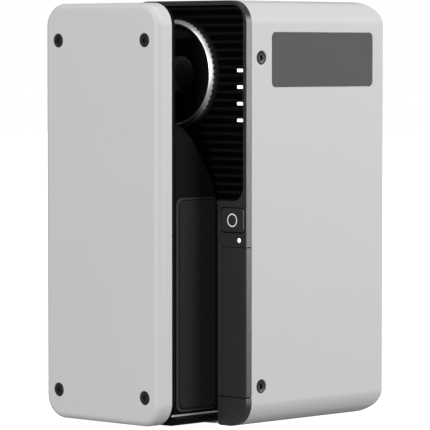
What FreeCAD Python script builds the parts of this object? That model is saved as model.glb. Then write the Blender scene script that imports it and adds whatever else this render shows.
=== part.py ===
"""Handheld 3-D scanner: a white tower housing, a dark grip waist and a white front cover.

Frame: +Z up, origin under the middle of the whole scanner, on the surface it stands on.
The ribbed lens face looks along -Y, the battery column stands on the +X side. Millimetres.
"""
import FreeCAD
import Part

import math
import operator
import os
import sys
from types import SimpleNamespace

import Sketcher

SIZES = {
    # Tower housing
    "height": 180.0,
    "tower_width": 68.5,
    "shell_depth": 84.0,
    "shell_wall": 2.0,
    "corner_radius": 10.0,
    "window_length": 64.7,
    "window_height": 23.2,
    "window_from_front": 12.5,
    "window_bottom": 143.4,
    "window_radius": 2.3,
    "window_thickness": 1.0,
    "vent_slot_length": 34.0,
    "vent_slot_height": 2.2,
    "vent_pitch": 4.4,
    "vent_count": 8.0,
    # Bezel, column and ribbed face
    "bezel_proud": 3.4,
    "rim_width": 2.0,
    "rim_radius": 6.0,
    "column_width": 16.8,
    "column_edge": 1.9,
    "face_bottom": 95.4,
    "face_recess": 1.0,
    "rib_pitch": 3.53,
    "rib_count": 23.0,
    "groove_height": 1.75,
    "groove_depth": 0.9,
    "face_thickness": 1.5,
    "face_ledge": 3.0,
    "door_bottom": 12.4,
    "door_top": 76.0,
    "door_radius": 1.7,
    # Chassis and inner parts
    "chassis_setback": 3.6,
    "chassis_thickness": 2.5,
    "board_thickness": 1.6,
    "board_left_gap": 7.0,
    "board_right_gap": 4.0,
    "board_bottom": 20.0,
    "board_top_gap": 8.0,
    "standoff_radius": 2.5,
    "standoff_inset": 4.0,
    "chip_thickness": 1.6,
    "chip_width": 18.0,
    "heat_sink_depth": 13.0,
    "fin_thickness": 1.0,
    "fin_pitch": 3.25,
    "fin_count": 12.0,
    "sink_base": 3.0,
    "fan_size": 40.0,
    "fan_depth": 10.0,
    "fan_back_gap": 4.55,
    "fan_wall": 1.0,
    "fan_corner": 3.0,
    "fan_arm": 2.0,
    "fan_arm_depth": 1.5,
    "fan_end_gap": 0.5,
    "fan_hub_radius": 7.5,
    "fan_shaft_radius": 1.0,
    "blade_thickness": 1.2,
    "blade_count": 7.0,
    "fan_centre_height": 128.0,
    "battery_side_gap": 1.45,
    "battery_height": 50.0,
    "battery_top_gap": 2.0,
    "battery_back_gap": 10.05,
    "bay_wall": 1.0,
    "contact_width": 4.0,
    "contact_height": 2.0,
    "contact_pitch": 6.0,
    "contact_space": 2.0,
    # Lens
    "lens_height": 148.9,
    "lens_edge_gap": 0.55,
    "lens_land": 1.2,
    "ring_diameter": 46.6,
    "ring_width": 2.2,
    "ring_depth": 5.0,
    "ring_proud": 2.0,
    "knurl_count": 60.0,
    "knurl_radius": 0.35,
    "ring_edge": 0.8,
    "ring_inner_edge": 0.5,
    "barrel_lip": 1.6,
    "glass_rise": 3.6,
    "glass_edge": 1.0,
    "glass_seat": 2.0,
    "pupil_diameter": 15.3,
    "pupil_rise": 2.0,
    "pupil_thickness": 4.0,
    "pupil_depth": 2.5,
    "barrel_setback": 0.4,
    "barrel_step": 0.5,
    "barrel_length": 30.0,
    "camera_board_inset": 4.5,
    # Lights and button
    "light_width": 3.0,
    "light_height": 1.4,
    "light_pitch": 7.0,
    "light_count": 4.0,
    "light_board_width": 4.0,
    "light_board_depth": 1.0,
    "light_inset": 4.9,
    "top_light_height": 150.5,
    "button_width": 13.8,
    "button_height": 10.3,
    "button_radius": 1.7,
    "button_inset": 8.1,
    "button_centre_height": 87.3,
    "button_travel": 0.5,
    "button_thickness": 2.2,
    "button_proud": 0.2,
    "button_edge": 0.4,
    "stem_size": 6.0,
    "stem_gap": 1.1,
    "flange_width": 1.0,
    "flange_thickness": 0.8,
    "icon_diameter": 5.7,
    "icon_line": 0.5,
    "icon_depth": 0.3,
    "status_light_diameter": 1.9,
    "status_light_height": 78.9,
    "status_light_inset": 4.4,
    # Grip waist
    "waist_gap": 27.5,
    "waist_top": 129.3,
    "waist_flat": 7.2,
    "waist_shoulder": 99.5,
    "shoulder_radius": 6.0,
    "waist_wall": 3.0,
    "tray_height": 4.8,
    "pad_bottom": 7.0,
    "pad_top": 97.3,
    "pad_thickness": 1.5,
    "pad_proud": 0.3,
    "pad_setback": 0.4,
    "pad_radius": 3.3,
    "trim_width": 1.4,
    "trim_base": 1.0,
    # Front cover
    "cover_width": 68.5,
    "cover_shift": 16.8,
    "cover_depth": 8.2,
    "cover_inset": 1.2,
    "cover_wall": 2.0,
    "cover_edge_radius": 3.0,
    "cover_screw_inset": 8.3,
    "cover_screw_rise": 13.4,
    "cover_screw_drop": 16.9,
    "backplate_thickness": 2.5,
    "backplate_inset": 0.5,
    "screw_boss_wall": 1.7,
    # Fasteners and interfaces
    "screw_radius": 1.5,
    "screw_head_radius": 2.8,
    "screw_head_height": 1.9,
    "cover_screw_length": 8.0,
    "shell_screw_length": 3.5,
    "socket_radius": 1.25,
    "socket_depth": 1.33,
    "chassis_boss": 6.0,
    "shell_screw_setback": 6.1,
    "shell_screw_low": 16.8,
    "shell_screw_high": 155.8,
    "tripod_thread_radius": 3.0,
    "tripod_insert_radius": 6.0,
    "tripod_insert_height": 10.0,
    "tripod_insert_inset": 0.2,
    "tripod_flange_width": 3.0,
    "tripod_flange_thickness": 2.0,
    "tripod_cap": 1.0,
    "usb_width": 8.9,
    "usb_height": 3.2,
    "usb_depth": 7.3,
    "usb_inset": 0.3,
    "usb_wall": 0.3,
    "usb_end_wall": 1.0,
    "usb_tongue_width": 6.0,
    "usb_tongue_height": 0.7,
    "port_board_width": 20.0,
    "port_board_back_gap": 24.0,
    "port_board_gap": 0.5,
    "usb_centre_height": 22.0,
    # Fits
    "seam": 0.15,
    "slide_clearance": 0.3,
    "thread_clearance": 0.05,
    "running_clearance": 0.08,
}

doc = FreeCAD.newDocument("HandheldScanner")
sheet = doc.addObject("Spreadsheet::Sheet", "Sizes")


class Size:
    """A length known as a number and as the spreadsheet expression that drives it."""

    def __init__(self, value, text):
        self.value = value
        self.text = text

    def __add__(self, other):
        return combine(self, "+", other)

    def __radd__(self, other):
        return combine(other, "+", self)

    def __sub__(self, other):
        return combine(self, "-", other)

    def __rsub__(self, other):
        return combine(other, "-", self)

    def __mul__(self, other):
        return combine(self, "*", other)

    def __rmul__(self, other):
        return combine(other, "*", self)

    def __truediv__(self, other):
        return combine(self, "/", other)


OPERATIONS = {"+": operator.add, "-": operator.sub, "*": operator.mul, "/": operator.truediv}


def as_size(amount):
    if isinstance(amount, Size):
        return amount
    return Size(float(amount), f"{float(amount):g}")


def combine(first, sign, second):
    first, second = as_size(first), as_size(second)
    return Size(OPERATIONS[sign](first.value, second.value), f"({first.text} {sign} {second.text})")


def fill_sheet():
    """Write every driving size into the spreadsheet and return them as Size values."""
    for row, (name, value) in enumerate(SIZES.items(), start=1):
        sheet.set(f"A{row}", name)
        sheet.set(f"B{row}", f"{value:g}")
        sheet.setAlias(f"B{row}", name)
    doc.recompute()
    return SimpleNamespace(**{name: Size(value, f"Sizes.{name}") for name, value in SIZES.items()})


d = fill_sheet()

# Planes that the pieces share, in the scanner's own frame.
RIGHT = (d.cover_width + d.cover_shift) / 2
LEFT = RIGHT - d.tower_width
COVER_RIGHT = RIGHT - d.cover_shift
COVER_LEFT = COVER_RIGHT - d.cover_width
TOWER_MIDDLE = (RIGHT + LEFT) / 2
COLUMN_LEFT = RIGHT - d.column_width
WAIST_RIGHT = COLUMN_LEFT - d.seam
LENS_X = LEFT + d.rim_width + d.lens_edge_gap + d.lens_land + d.ring_diameter / 2
FRONT = (d.cover_depth + d.waist_gap + d.bezel_proud + d.shell_depth) / -2
COVER_BACK = FRONT + d.cover_depth
BEZEL_FRONT = COVER_BACK + d.waist_gap
SHELL_FRONT = BEZEL_FRONT + d.bezel_proud
CHASSIS_FRONT = SHELL_FRONT + d.chassis_setback
CHASSIS_BACK = CHASSIS_FRONT + d.chassis_thickness
BACK = SHELL_FRONT + d.shell_depth
INNER_WALL = d.shell_wall + d.seam
FACE_FRONT = BEZEL_FRONT + d.face_recess
FACE_BACK = FACE_FRONT + d.face_thickness
FACE_TOP = d.height - d.rim_width
FAN_FRONT = BACK - d.shell_wall - d.fan_back_gap - d.fan_depth
HEAT_SINK_FRONT = FAN_FRONT - d.seam - d.heat_sink_depth
BOARD_BACK = HEAT_SINK_FRONT - d.chip_thickness
BOARD_FRONT = BOARD_BACK - d.board_thickness
WAIST_FRONT = COVER_BACK + d.backplate_thickness
DOOR_LEFT = COLUMN_LEFT + d.column_edge
BUTTON_X = RIGHT - d.button_inset
BATTERY_X = (DOOR_LEFT + RIGHT - d.shell_wall) / 2
BATTERY_THICKNESS = RIGHT - d.shell_wall - DOOR_LEFT - 2 * d.battery_side_gap
BATTERY_Z = d.door_top - d.battery_top_gap - d.battery_height / 2
BATTERY_FRONT = SHELL_FRONT - d.thread_clearance
BATTERY_END = BACK - d.battery_back_gap
BAY_END = BATTERY_END + d.contact_space
RING_FRONT = BEZEL_FRONT - d.ring_proud
RING_BACK = RING_FRONT + d.ring_depth
BARREL_FRONT = RING_FRONT + d.barrel_setback
GLASS_BACK = BARREL_FRONT + d.glass_seat
BARREL_END = BARREL_FRONT + d.barrel_length
RING_BORE = d.ring_diameter - 2 * d.ring_width
REAR_TUBE = RING_BORE / 2 - d.barrel_lip
STEM_END = CHASSIS_FRONT - d.stem_gap
STEM_FLANGE_FRONT = STEM_END - d.flange_thickness
PAST = 5.0  # how far a cut runs past the solid that it opens
SHORT_OF_ROUND = 0.05  # keeps a short straight between two round ends

PLANES = {"front": "XZ_Plane", "side": "YZ_Plane", "top": "XY_Plane"}


def bind(item, prop, amount):
    item.setExpression(prop, as_size(amount).text)


def new_body(label):
    body = doc.addObject("PartDesign::Body", label)
    body.Label = label
    return body


def dimension(sketch, kind, geometry, point, amount):
    """Hold one point of a sketch at a distance from the origin, driven by the sheet."""
    amount = as_size(amount)
    held = Sketcher.Constraint(kind, -1, 1, geometry, point, amount.value)
    sketch.setExpression(f"Constraints[{sketch.addConstraint(held)}]", amount.text)


def radius_of(sketch, geometry, amount):
    amount = as_size(amount)
    held = Sketcher.Constraint("Radius", geometry, amount.value)
    sketch.setExpression(f"Constraints[{sketch.addConstraint(held)}]", amount.text)


def polygon(*corners):
    """Outline through straight runs between corners, given as (across, up)."""
    def draw(sketch):
        points = [FreeCAD.Vector(as_size(a).value, as_size(b).value, 0) for a, b in corners]
        ends = points[1:] + points[:1]
        first = sketch.addGeometry([Part.LineSegment(a, b) for a, b in zip(points, ends)])[0]
        for index, (across, up) in enumerate(corners):
            following = first + (index + 1) % len(corners)
            sketch.addConstraint(Sketcher.Constraint("Coincident", first + index, 2, following, 1))
            dimension(sketch, "DistanceX", first + index, 1, across)
            dimension(sketch, "DistanceY", first + index, 1, up)
    return draw


def rectangle(x0, z0, x1, z1):
    return polygon((x0, z0), (x1, z0), (x1, z1), (x0, z1))


def circle(x, z, radius):
    def draw(sketch):
        centre = FreeCAD.Vector(as_size(x).value, as_size(z).value, 0)
        ring = Part.Circle(centre, FreeCAD.Vector(0, 0, 1), as_size(radius).value)
        number = sketch.addGeometry(ring)
        radius_of(sketch, number, radius)
        dimension(sketch, "DistanceX", number, 3, x)
        dimension(sketch, "DistanceY", number, 3, z)
    return draw


def rounded(x0, z0, x1, z1, radius):
    """Rectangle between two corners with all four corners rounded."""
    def draw(sketch):
        low_x, low_z, high_x, high_z, r = (as_size(v).value for v in (x0, z0, x1, z1, radius))
        up = FreeCAD.Vector(0, 0, 1)
        sides = [((low_x + r, low_z), (high_x - r, low_z)), ((high_x, low_z + r), (high_x, high_z - r)),
                 ((high_x - r, high_z), (low_x + r, high_z)), ((low_x, high_z - r), (low_x, low_z + r))]
        centres = [(high_x - r, low_z + r), (high_x - r, high_z - r),
                   (low_x + r, high_z - r), (low_x + r, low_z + r)]
        lines = [Part.LineSegment(FreeCAD.Vector(*a, 0), FreeCAD.Vector(*b, 0)) for a, b in sides]
        arcs = [Part.ArcOfCircle(Part.Circle(FreeCAD.Vector(*c, 0), up, r),
                                 math.radians(270 + 90 * turn), math.radians(360 + 90 * turn))
                for turn, c in enumerate(centres)]
        line = sketch.addGeometry(lines)[0]
        arc = sketch.addGeometry(arcs)[0]
        for turn in range(4):
            following = line + (turn + 1) % 4
            sketch.addConstraint(Sketcher.Constraint("Tangent", line + turn, 2, arc + turn, 1))
            sketch.addConstraint(Sketcher.Constraint("Tangent", arc + turn, 2, following, 1))
            level = "Horizontal" if turn % 2 == 0 else "Vertical"
            sketch.addConstraint(Sketcher.Constraint(level, line + turn))
            if turn:
                sketch.addConstraint(Sketcher.Constraint("Equal", arc, arc + turn))
        radius_of(sketch, arc, radius)
        dimension(sketch, "DistanceY", line, 1, z0)
        dimension(sketch, "DistanceX", line + 1, 1, x1)
        dimension(sketch, "DistanceY", line + 2, 1, z1)
        dimension(sketch, "DistanceX", line + 3, 1, x0)
    return draw


def sketch_on(body, view, depth, outlines):
    """Sketch on one of the body's own planes, moved to a depth along that plane's axis."""
    sketch = body.newObject("Sketcher::SketchObject", f"{body.Label}_outline")
    plane = next(item for item in body.Origin.OriginFeatures if item.Role == PLANES[view])
    sketch.AttachmentSupport = [(plane, "")]
    sketch.MapMode = "FlatFace"
    # The front plane looks along -Y, so its depth counts the other way.
    bind(sketch, "AttachmentOffset.Base.z", as_size(depth) * -1 if view == "front" else depth)
    for draw in outlines:
        draw(sketch)
    return sketch


def add(body, view, low, high, *outlines):
    """Pad outlines between two depths along the view's axis."""
    sketch = sketch_on(body, view, high if view == "front" else low, outlines)
    pad = body.newObject("PartDesign::Pad", f"{body.Label}_pad")
    pad.Profile = sketch
    bind(pad, "Length", as_size(high) - low)
    return pad


def cut(body, view, low, high, *outlines):
    """Pocket outlines between two depths along the view's axis."""
    sketch = sketch_on(body, view, low if view == "front" else high, outlines)
    pocket = body.newObject("PartDesign::Pocket", f"{body.Label}_pocket")
    pocket.Profile = sketch
    bind(pocket, "Length", as_size(high) - low)
    return pocket


def repeat(body, feature, direction, pitch, count):
    """Linear pattern of one feature along a sketch direction or an origin axis."""
    pattern = body.newObject("PartDesign::LinearPattern", f"{body.Label}_row")
    pattern.Originals = [feature]
    axis = next(item for item in body.Origin.OriginFeatures if item.Role == direction)
    pattern.Direction = (axis, [""])
    bind(pattern, "Length", pitch * (count - 1))
    bind(pattern, "Occurrences", count)
    body.Tip = pattern
    return pattern


def revolve(body, *outlines):
    """Full revolution about the lens axis, drawn as (radius, along Y) beside that axis."""
    sketch = sketch_on(body, "top", d.lens_height, outlines)
    bind(sketch, "AttachmentOffset.Base.x", LENS_X)
    turned = body.newObject("PartDesign::Revolution", f"{body.Label}_turned")
    turned.Profile = sketch
    turned.ReferenceAxis = (sketch, ["V_Axis"])
    turned.Angle = 360
    return turned


def fillet(body, radius, chosen):
    """Round the edges of the body so far for which chosen(edge) is true."""
    doc.recompute()
    base = body.Tip
    names = [f"Edge{n}" for n, edge in enumerate(base.Shape.Edges, start=1) if chosen(edge)]
    rounding = body.newObject("PartDesign::Fillet", f"{body.Label}_fillet")
    rounding.Base = (base, names)
    bind(rounding, "Radius", radius)
    return rounding


def near(value, amount):
    return abs(value - as_size(amount).value) < 0.01


def edge_at(**places):
    """Test for an edge whose whole length lies at the given x, y or z."""
    def chosen(edge):
        box = edge.BoundBox
        spans = {"x": (box.XMin, box.XMax), "y": (box.YMin, box.YMax), "z": (box.ZMin, box.ZMax)}
        return all(near(end, amount) for axis, amount in places.items() for end in spans[axis])
    return chosen


def place(item, x, y, z, direction=(0, 0, 1)):
    turn = FreeCAD.Rotation(FreeCAD.Vector(0, 0, 1), FreeCAD.Vector(*direction))
    item.Placement = FreeCAD.Placement(FreeCAD.Vector(), turn)
    for axis, amount in zip("xyz", (x, y, z)):
        bind(item, f"Placement.Base.{axis}", amount)
    return item


def block(label, low, high):
    """Plain box between two opposite corners."""
    box = doc.addObject("Part::Box", label)
    box.Label = label
    for prop, start, end in zip(("Length", "Width", "Height"), low, high):
        bind(box, prop, as_size(end) - start)
    return place(box, *low)


def rod(label, start, direction, radius, length):
    cylinder = doc.addObject("Part::Cylinder", label)
    cylinder.Label = label
    bind(cylinder, "Radius", radius)
    bind(cylinder, "Height", length)
    return place(cylinder, *start, direction)


def boolean(kind, label, base, tool):
    result = doc.addObject(f"Part::{kind}", label)
    result.Label = label
    result.Base = base
    result.Tool = tool
    return result


def group(label, members):
    """Identical pieces that share one node, as separate solids."""
    compound = doc.addObject("Part::Compound", label)
    compound.Label = label
    compound.Links = members
    return compound


def corner_waste(y_edge, z_edge, y_turn, z_turn, radius):
    """Outline of the waste outside a rounded corner, drawn in the side view."""
    y_centre = y_edge - radius * y_turn
    z_centre = z_edge - radius * z_turn

    def draw(sketch):
        ys, zs, yc, zc, r = (as_size(v).value for v in (y_edge, z_edge, y_centre, z_centre, radius))
        out_y, out_z = ys + PAST * y_turn, zs + PAST * z_turn
        points = [(ys, zc), (out_y, zc), (out_y, out_z), (yc, out_z), (yc, zs)]
        points = [FreeCAD.Vector(a, b, 0) for a, b in points]
        lines = [Part.LineSegment(a, b) for a, b in zip(points, points[1:])]
        line = sketch.addGeometry(lines)[0]
        start, end = (0, math.pi / 2) if z_turn > 0 else (-math.pi / 2, 0)
        round_part = Part.Circle(FreeCAD.Vector(yc, zc, 0), FreeCAD.Vector(0, 0, 1), r)
        arc = sketch.addGeometry(Part.ArcOfCircle(round_part, start, end))
        for step in range(len(lines) - 1):
            sketch.addConstraint(Sketcher.Constraint("Coincident", line + step, 2, line + step + 1, 1))
        side_end, level_end = (1, 2) if z_turn > 0 else (2, 1)
        sketch.addConstraint(Sketcher.Constraint("Coincident", line, 1, arc, side_end))
        sketch.addConstraint(Sketcher.Constraint("Coincident", line + 3, 2, arc, level_end))
        dimension(sketch, "DistanceX", arc, 3, y_centre)
        dimension(sketch, "DistanceY", arc, 3, z_centre)
        radius_of(sketch, arc, radius)
        dimension(sketch, "DistanceY", line, 1, z_centre)
        dimension(sketch, "DistanceX", line + 3, 2, y_centre)
        dimension(sketch, "DistanceX", line + 1, 1, y_edge + PAST * y_turn)
        dimension(sketch, "DistanceY", line + 1, 2, z_edge + PAST * z_turn)
        for step, level in enumerate(("Horizontal", "Vertical", "Horizontal", "Vertical")):
            sketch.addConstraint(Sketcher.Constraint(level, line + step))
    return draw


def tower_form(label, inset, front):
    """The tower's rounded block, taken in by a wall: used for its outside and its hollow."""
    body = new_body(label)
    radius = d.corner_radius - inset
    low_x, high_x, low_z, high_z = LEFT + inset, RIGHT - inset, as_size(inset), d.height - inset
    add(body, "front", front, BACK - inset, rounded(low_x, low_z, high_x, high_z, radius))
    for z_edge, z_turn in ((high_z, 1), (low_z, -1)):
        cut(body, "side", low_x - PAST, high_x + PAST,
            corner_waste(BACK - inset, z_edge, 1, z_turn, radius))
    return body


def shell_screw_heights():
    return d.shell_screw_low, d.shell_screw_high


def rear_shell():
    """White cup that wraps the tower; open at the front, vented at the back."""
    outside = tower_form("shell_outside", 0, SHELL_FRONT)
    window_front = SHELL_FRONT + d.window_from_front
    pocket = (window_front - d.seam, d.window_bottom - d.seam, window_front + d.window_length + d.seam,
              d.window_bottom + d.window_height + d.seam, d.window_radius + d.seam)
    cut(outside, "side", RIGHT - d.window_thickness - d.seam, RIGHT, rounded(*pocket))
    screw_y = SHELL_FRONT + d.shell_screw_setback
    holes = [circle(screw_y, z, d.screw_head_radius + d.seam) for z in shell_screw_heights()]
    cut(outside, "side", RIGHT - d.shell_wall - d.seam, RIGHT, *holes)
    cut(outside, "side", LEFT, LEFT + d.shell_wall + d.seam, *holes)
    slot = rounded(TOWER_MIDDLE - d.vent_slot_length / 2, vent_bottom(),
                   TOWER_MIDDLE + d.vent_slot_length / 2, vent_bottom() + d.vent_slot_height,
                   d.vent_slot_height / 2 - SHORT_OF_ROUND)
    vent = back_cut(outside, slot)
    repeat(outside, vent, "Z_Axis", d.vent_pitch, d.vent_count)
    back_cut(outside, usb_outline(d.seam))
    hole = circle(TOWER_MIDDLE, tripod_y(), d.tripod_insert_radius + d.seam)
    cut(outside, "top", -PAST, d.shell_wall + d.seam, hole)
    hollow = tower_form("shell_hollow", d.shell_wall, SHELL_FRONT - PAST)
    return boolean("Cut", "rear_shell", outside, hollow)


def vent_bottom():
    """Lowest edge of the vent slots, which sit evenly about the fan's centre."""
    return d.fan_centre_height - ((d.vent_count - 1) * d.vent_pitch + d.vent_slot_height) / 2


def tripod_y():
    return SHELL_FRONT + d.shell_depth / 2


def back_cut(body, outline):
    """Pocket through the back wall of the tower."""
    return cut(body, "front", BACK - d.shell_wall - d.seam, BACK + PAST, outline)


def usb_outline(margin):
    half_width, half_height = d.usb_width / 2 + margin, d.usb_height / 2 + margin
    return rounded(TOWER_MIDDLE - half_width, d.usb_centre_height - half_height,
                   TOWER_MIDDLE + half_width, d.usb_centre_height + half_height,
                   half_height - SHORT_OF_ROUND)


def side_window():
    """Grey panel let into the right side of the shell."""
    body = new_body("side_window")
    front, low = SHELL_FRONT + d.window_from_front, d.window_bottom
    outline = rounded(front, low, front + d.window_length, low + d.window_height, d.window_radius)
    add(body, "side", RIGHT - d.window_thickness, RIGHT - d.seam, outline)
    return body


def screw(label, head_centre, direction, length):
    """Low socket-head screw: the head's outer face is at head_centre, the shank follows."""
    head = rod(f"{label}_head", head_centre, direction, d.screw_head_radius, d.screw_head_height)
    shank = rod(f"{label}_shank", head_centre, direction, d.screw_radius,
                d.screw_head_height + length)
    socket = doc.addObject("Part::Prism", f"{label}_socket")
    socket.Polygon = 6
    bind(socket, "Circumradius", d.socket_radius)
    bind(socket, "Height", d.socket_depth)
    place(socket, *head_centre, direction)
    return boolean("Cut", label, boolean("Fuse", f"{label}_blank", head, shank), socket)


def shell_screws():
    y = SHELL_FRONT + d.shell_screw_setback
    sides = (("right", RIGHT - d.seam, (-1, 0, 0)), ("left", LEFT + d.seam, (1, 0, 0)))
    return group("shell_screws", [
        screw(f"shell_screw_{side}_{level}", (x, y, z), direction, d.shell_screw_length)
        for side, x, direction in sides for level, z in zip(("low", "high"), shell_screw_heights())])


def cover_screw_places():
    """Centres of the four cover screws, across and up."""
    across = (COVER_LEFT + d.cover_screw_inset, COVER_RIGHT - d.cover_screw_inset)
    up = (d.cover_screw_rise, d.height - d.cover_screw_drop)
    return [(x, z) for x in across for z in up]


def front_cover():
    """White dished cover in front of the grip, hollow behind, with a boss for each screw."""
    body = new_body("front_cover")
    low, high = as_size(d.cover_inset), d.height - d.cover_inset
    add(body, "front", FRONT, COVER_BACK, rounded(COVER_LEFT, low, COVER_RIGHT, high, d.corner_radius))
    fillet(body, d.cover_edge_radius, edge_at(y=FRONT))
    wall = d.cover_wall
    cut(body, "front", FRONT + wall, COVER_BACK,
        rounded(COVER_LEFT + wall, low + wall, COVER_RIGHT - wall, high - wall, d.corner_radius - wall))
    places = cover_screw_places()
    boss_radius = d.screw_head_radius + d.screw_boss_wall
    add(body, "front", FRONT + wall, COVER_BACK, *[circle(x, z, boss_radius) for x, z in places])
    cut(body, "front", FRONT, FRONT + d.screw_head_height + d.seam,
        *[circle(x, z, d.screw_head_radius + d.seam) for x, z in places])
    cut(body, "front", FRONT, COVER_BACK,
        *[circle(x, z, d.screw_radius + d.seam) for x, z in places])
    return body


def cover_screws():
    return group("cover_screws", [
        screw(f"cover_screw_{number}", (x, FRONT + d.seam, z), (0, 1, 0), d.cover_screw_length)
        for number, (x, z) in enumerate(cover_screw_places(), start=1)])


def front_backplate():
    """Dark plate that closes the cover and carries it on the grip."""
    body = new_body("front_backplate")
    inset = d.backplate_inset
    low, high = d.cover_inset + inset, d.height - d.cover_inset - inset
    add(body, "front", COVER_BACK, WAIST_FRONT,
        rounded(COVER_LEFT + inset, low, COVER_RIGHT - inset, high, d.corner_radius - inset))
    cut(body, "front", COVER_BACK, WAIST_FRONT,
        *[circle(x, z, d.screw_radius + d.thread_clearance) for x, z in cover_screw_places()])
    return body


def waist_prism(body, low_z, high_z):
    """Block between the cover and the tower, its lower corners rounded like the cover's."""
    tail = SHELL_FRONT - d.seam
    add(body, "front", WAIST_FRONT, tail,
        rounded(LEFT, d.cover_inset, WAIST_RIGHT, d.height, d.corner_radius))
    if low_z is not None:
        cut(body, "front", WAIST_FRONT - PAST, tail + PAST,
            rectangle(LEFT - PAST, -PAST, RIGHT, low_z))
    if high_z is not None:
        cut(body, "front", WAIST_FRONT - PAST, tail + PAST,
            rectangle(LEFT - PAST, high_z, RIGHT, d.height + PAST))


def grip_core():
    """Dark hollow grip: level on top by the cover, then sloping down to the tower."""
    body = new_body("grip_core")
    floor = d.cover_inset + d.tray_height
    waist_prism(body, floor, None)
    flat_end = COVER_BACK + d.waist_flat
    shoulder = BEZEL_FRONT - d.slide_clearance
    under_rim = d.face_bottom - d.rim_width - d.slide_clearance
    above = polygon((WAIST_FRONT - PAST, d.waist_top), (flat_end, d.waist_top),
                    (shoulder, d.waist_shoulder), (shoulder, under_rim), (BACK, under_rim),
                    (BACK, d.height + PAST), (WAIST_FRONT - PAST, d.height + PAST))
    cut(body, "side", LEFT - PAST, RIGHT, above)
    fillet(body, d.shoulder_radius, edge_at(y=shoulder, z=d.waist_shoulder))
    tongue = rectangle(LEFT + INNER_WALL, d.corner_radius, WAIST_RIGHT, under_rim)
    add(body, "front", SHELL_FRONT - d.seam, CHASSIS_FRONT, tongue)
    wall = d.waist_wall
    hollow = rectangle(LEFT + INNER_WALL + wall, d.corner_radius + wall, WAIST_RIGHT - wall,
                       under_rim - wall)
    cut(body, "front", WAIST_FRONT + wall, CHASSIS_FRONT, hollow)
    for side_low, side_high in pad_slots():
        cut(body, "side", side_low, side_high, pad_outline(0, 0))
    return body


def pad_slots():
    """Depth ranges of the two pad recesses: the left side's and the right side's."""
    return ((LEFT, LEFT + d.pad_thickness), (WAIST_RIGHT - d.pad_thickness, WAIST_RIGHT))


def pad_outline(front_margin, low_margin):
    front = WAIST_FRONT + d.seam + front_margin
    back = BEZEL_FRONT - d.slide_clearance - d.pad_setback
    return rounded(front, d.pad_bottom + low_margin, back, d.pad_top - low_margin,
                   d.pad_radius - low_margin / 2)


def grip_pads():
    """Soft pads let into both sides of the grip, each in a firm trim frame."""
    made = []
    for side, (low, high) in zip(("left", "right"), pad_slots()):
        proud_low = low - d.pad_proud if side == "left" else low
        proud_high = high if side == "left" else high + d.pad_proud
        trim = new_body(f"grip_trim_{side}")
        add(trim, "side", low, high, pad_outline(d.seam, d.seam))
        cut(trim, "side", low, high, pad_outline(d.trim_width, d.trim_base))
        pad = new_body(f"grip_pad_{side}")
        add(pad, "side", proud_low, proud_high, pad_outline(d.trim_width + d.seam, d.trim_base + d.seam))
        made += [trim, pad]
    return made


def bottom_tray():
    """White tray under the grip, from the cover to the tower."""
    body = new_body("bottom_tray")
    waist_prism(body, None, d.cover_inset + d.tray_height - d.seam)
    return body


def front_bezel():
    """Dark frame round the ribbed face, with the button column on the right and a lip in the shell."""
    body = new_body("front_bezel")
    add(body, "front", BEZEL_FRONT, SHELL_FRONT, rounded(LEFT, 0, RIGHT, d.height, d.corner_radius))
    lip = INNER_WALL
    add(body, "front", SHELL_FRONT, CHASSIS_FRONT - d.seam,
        rounded(LEFT + lip, lip, RIGHT - lip, d.height - lip, d.corner_radius - lip))
    cut(body, "front", BEZEL_FRONT, FACE_BACK + d.seam, face_outline(0))
    cut(body, "front", FACE_BACK, CHASSIS_FRONT, face_outline(d.face_ledge))
    cut(body, "front", FACE_BACK, CHASSIS_FRONT, rectangle(*light_board_span(d.slide_clearance)))
    cut(body, "front", FACE_BACK, CHASSIS_FRONT, circle(LENS_X, d.lens_height, d.ring_diameter / 2))
    below = d.face_bottom - d.rim_width
    cut(body, "front", BEZEL_FRONT, CHASSIS_FRONT, rectangle(LEFT - PAST, -PAST, COLUMN_LEFT, below))
    cut(body, "front", BEZEL_FRONT, CHASSIS_FRONT,
        rectangle(COLUMN_LEFT - PAST, -PAST, RIGHT + PAST, d.door_bottom))
    cut(body, "front", BEZEL_FRONT, SHELL_FRONT,
        rectangle(DOOR_LEFT, d.door_bottom - PAST, RIGHT + PAST, d.door_top))
    cut(body, "front", SHELL_FRONT, CHASSIS_FRONT, battery_outline(d.slide_clearance))
    well = d.button_thickness - d.button_proud + d.button_travel + d.slide_clearance
    cut(body, "front", BEZEL_FRONT, BEZEL_FRONT + well, button_outline(d.slide_clearance))
    cut(body, "front", BEZEL_FRONT, CHASSIS_FRONT, stem_outline(d.slide_clearance))
    cut(body, "front", STEM_FLANGE_FRONT - d.slide_clearance, CHASSIS_FRONT,
        stem_outline(d.flange_width + d.slide_clearance))
    light_x = RIGHT - d.status_light_inset
    light = circle(light_x, d.status_light_height, d.status_light_diameter / 2 + d.thread_clearance)
    cut(body, "front", BEZEL_FRONT, CHASSIS_FRONT, light)
    return body


def face_outline(margin):
    """Opening for the ribbed face, taken in by a margin."""
    return rounded(LEFT + d.rim_width + margin, d.face_bottom + margin, RIGHT - d.rim_width - margin,
                   FACE_TOP - margin, d.rim_radius - margin)


def battery_outline(margin):
    half_width, half_height = BATTERY_THICKNESS / 2 + margin, d.battery_height / 2 + margin
    return rounded(BATTERY_X - half_width, BATTERY_Z - half_height, BATTERY_X + half_width,
                   BATTERY_Z + half_height, d.door_radius)


def button_outline(margin):
    half_width, half_height = d.button_width / 2 + margin, d.button_height / 2 + margin
    return rounded(BUTTON_X - half_width, d.button_centre_height - half_height,
                   BUTTON_X + half_width, d.button_centre_height + half_height, d.button_radius)


def stem_outline(margin):
    half = d.stem_size / 2 + margin
    return rectangle(BUTTON_X - half, d.button_centre_height - half,
                     BUTTON_X + half, d.button_centre_height + half)


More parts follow.
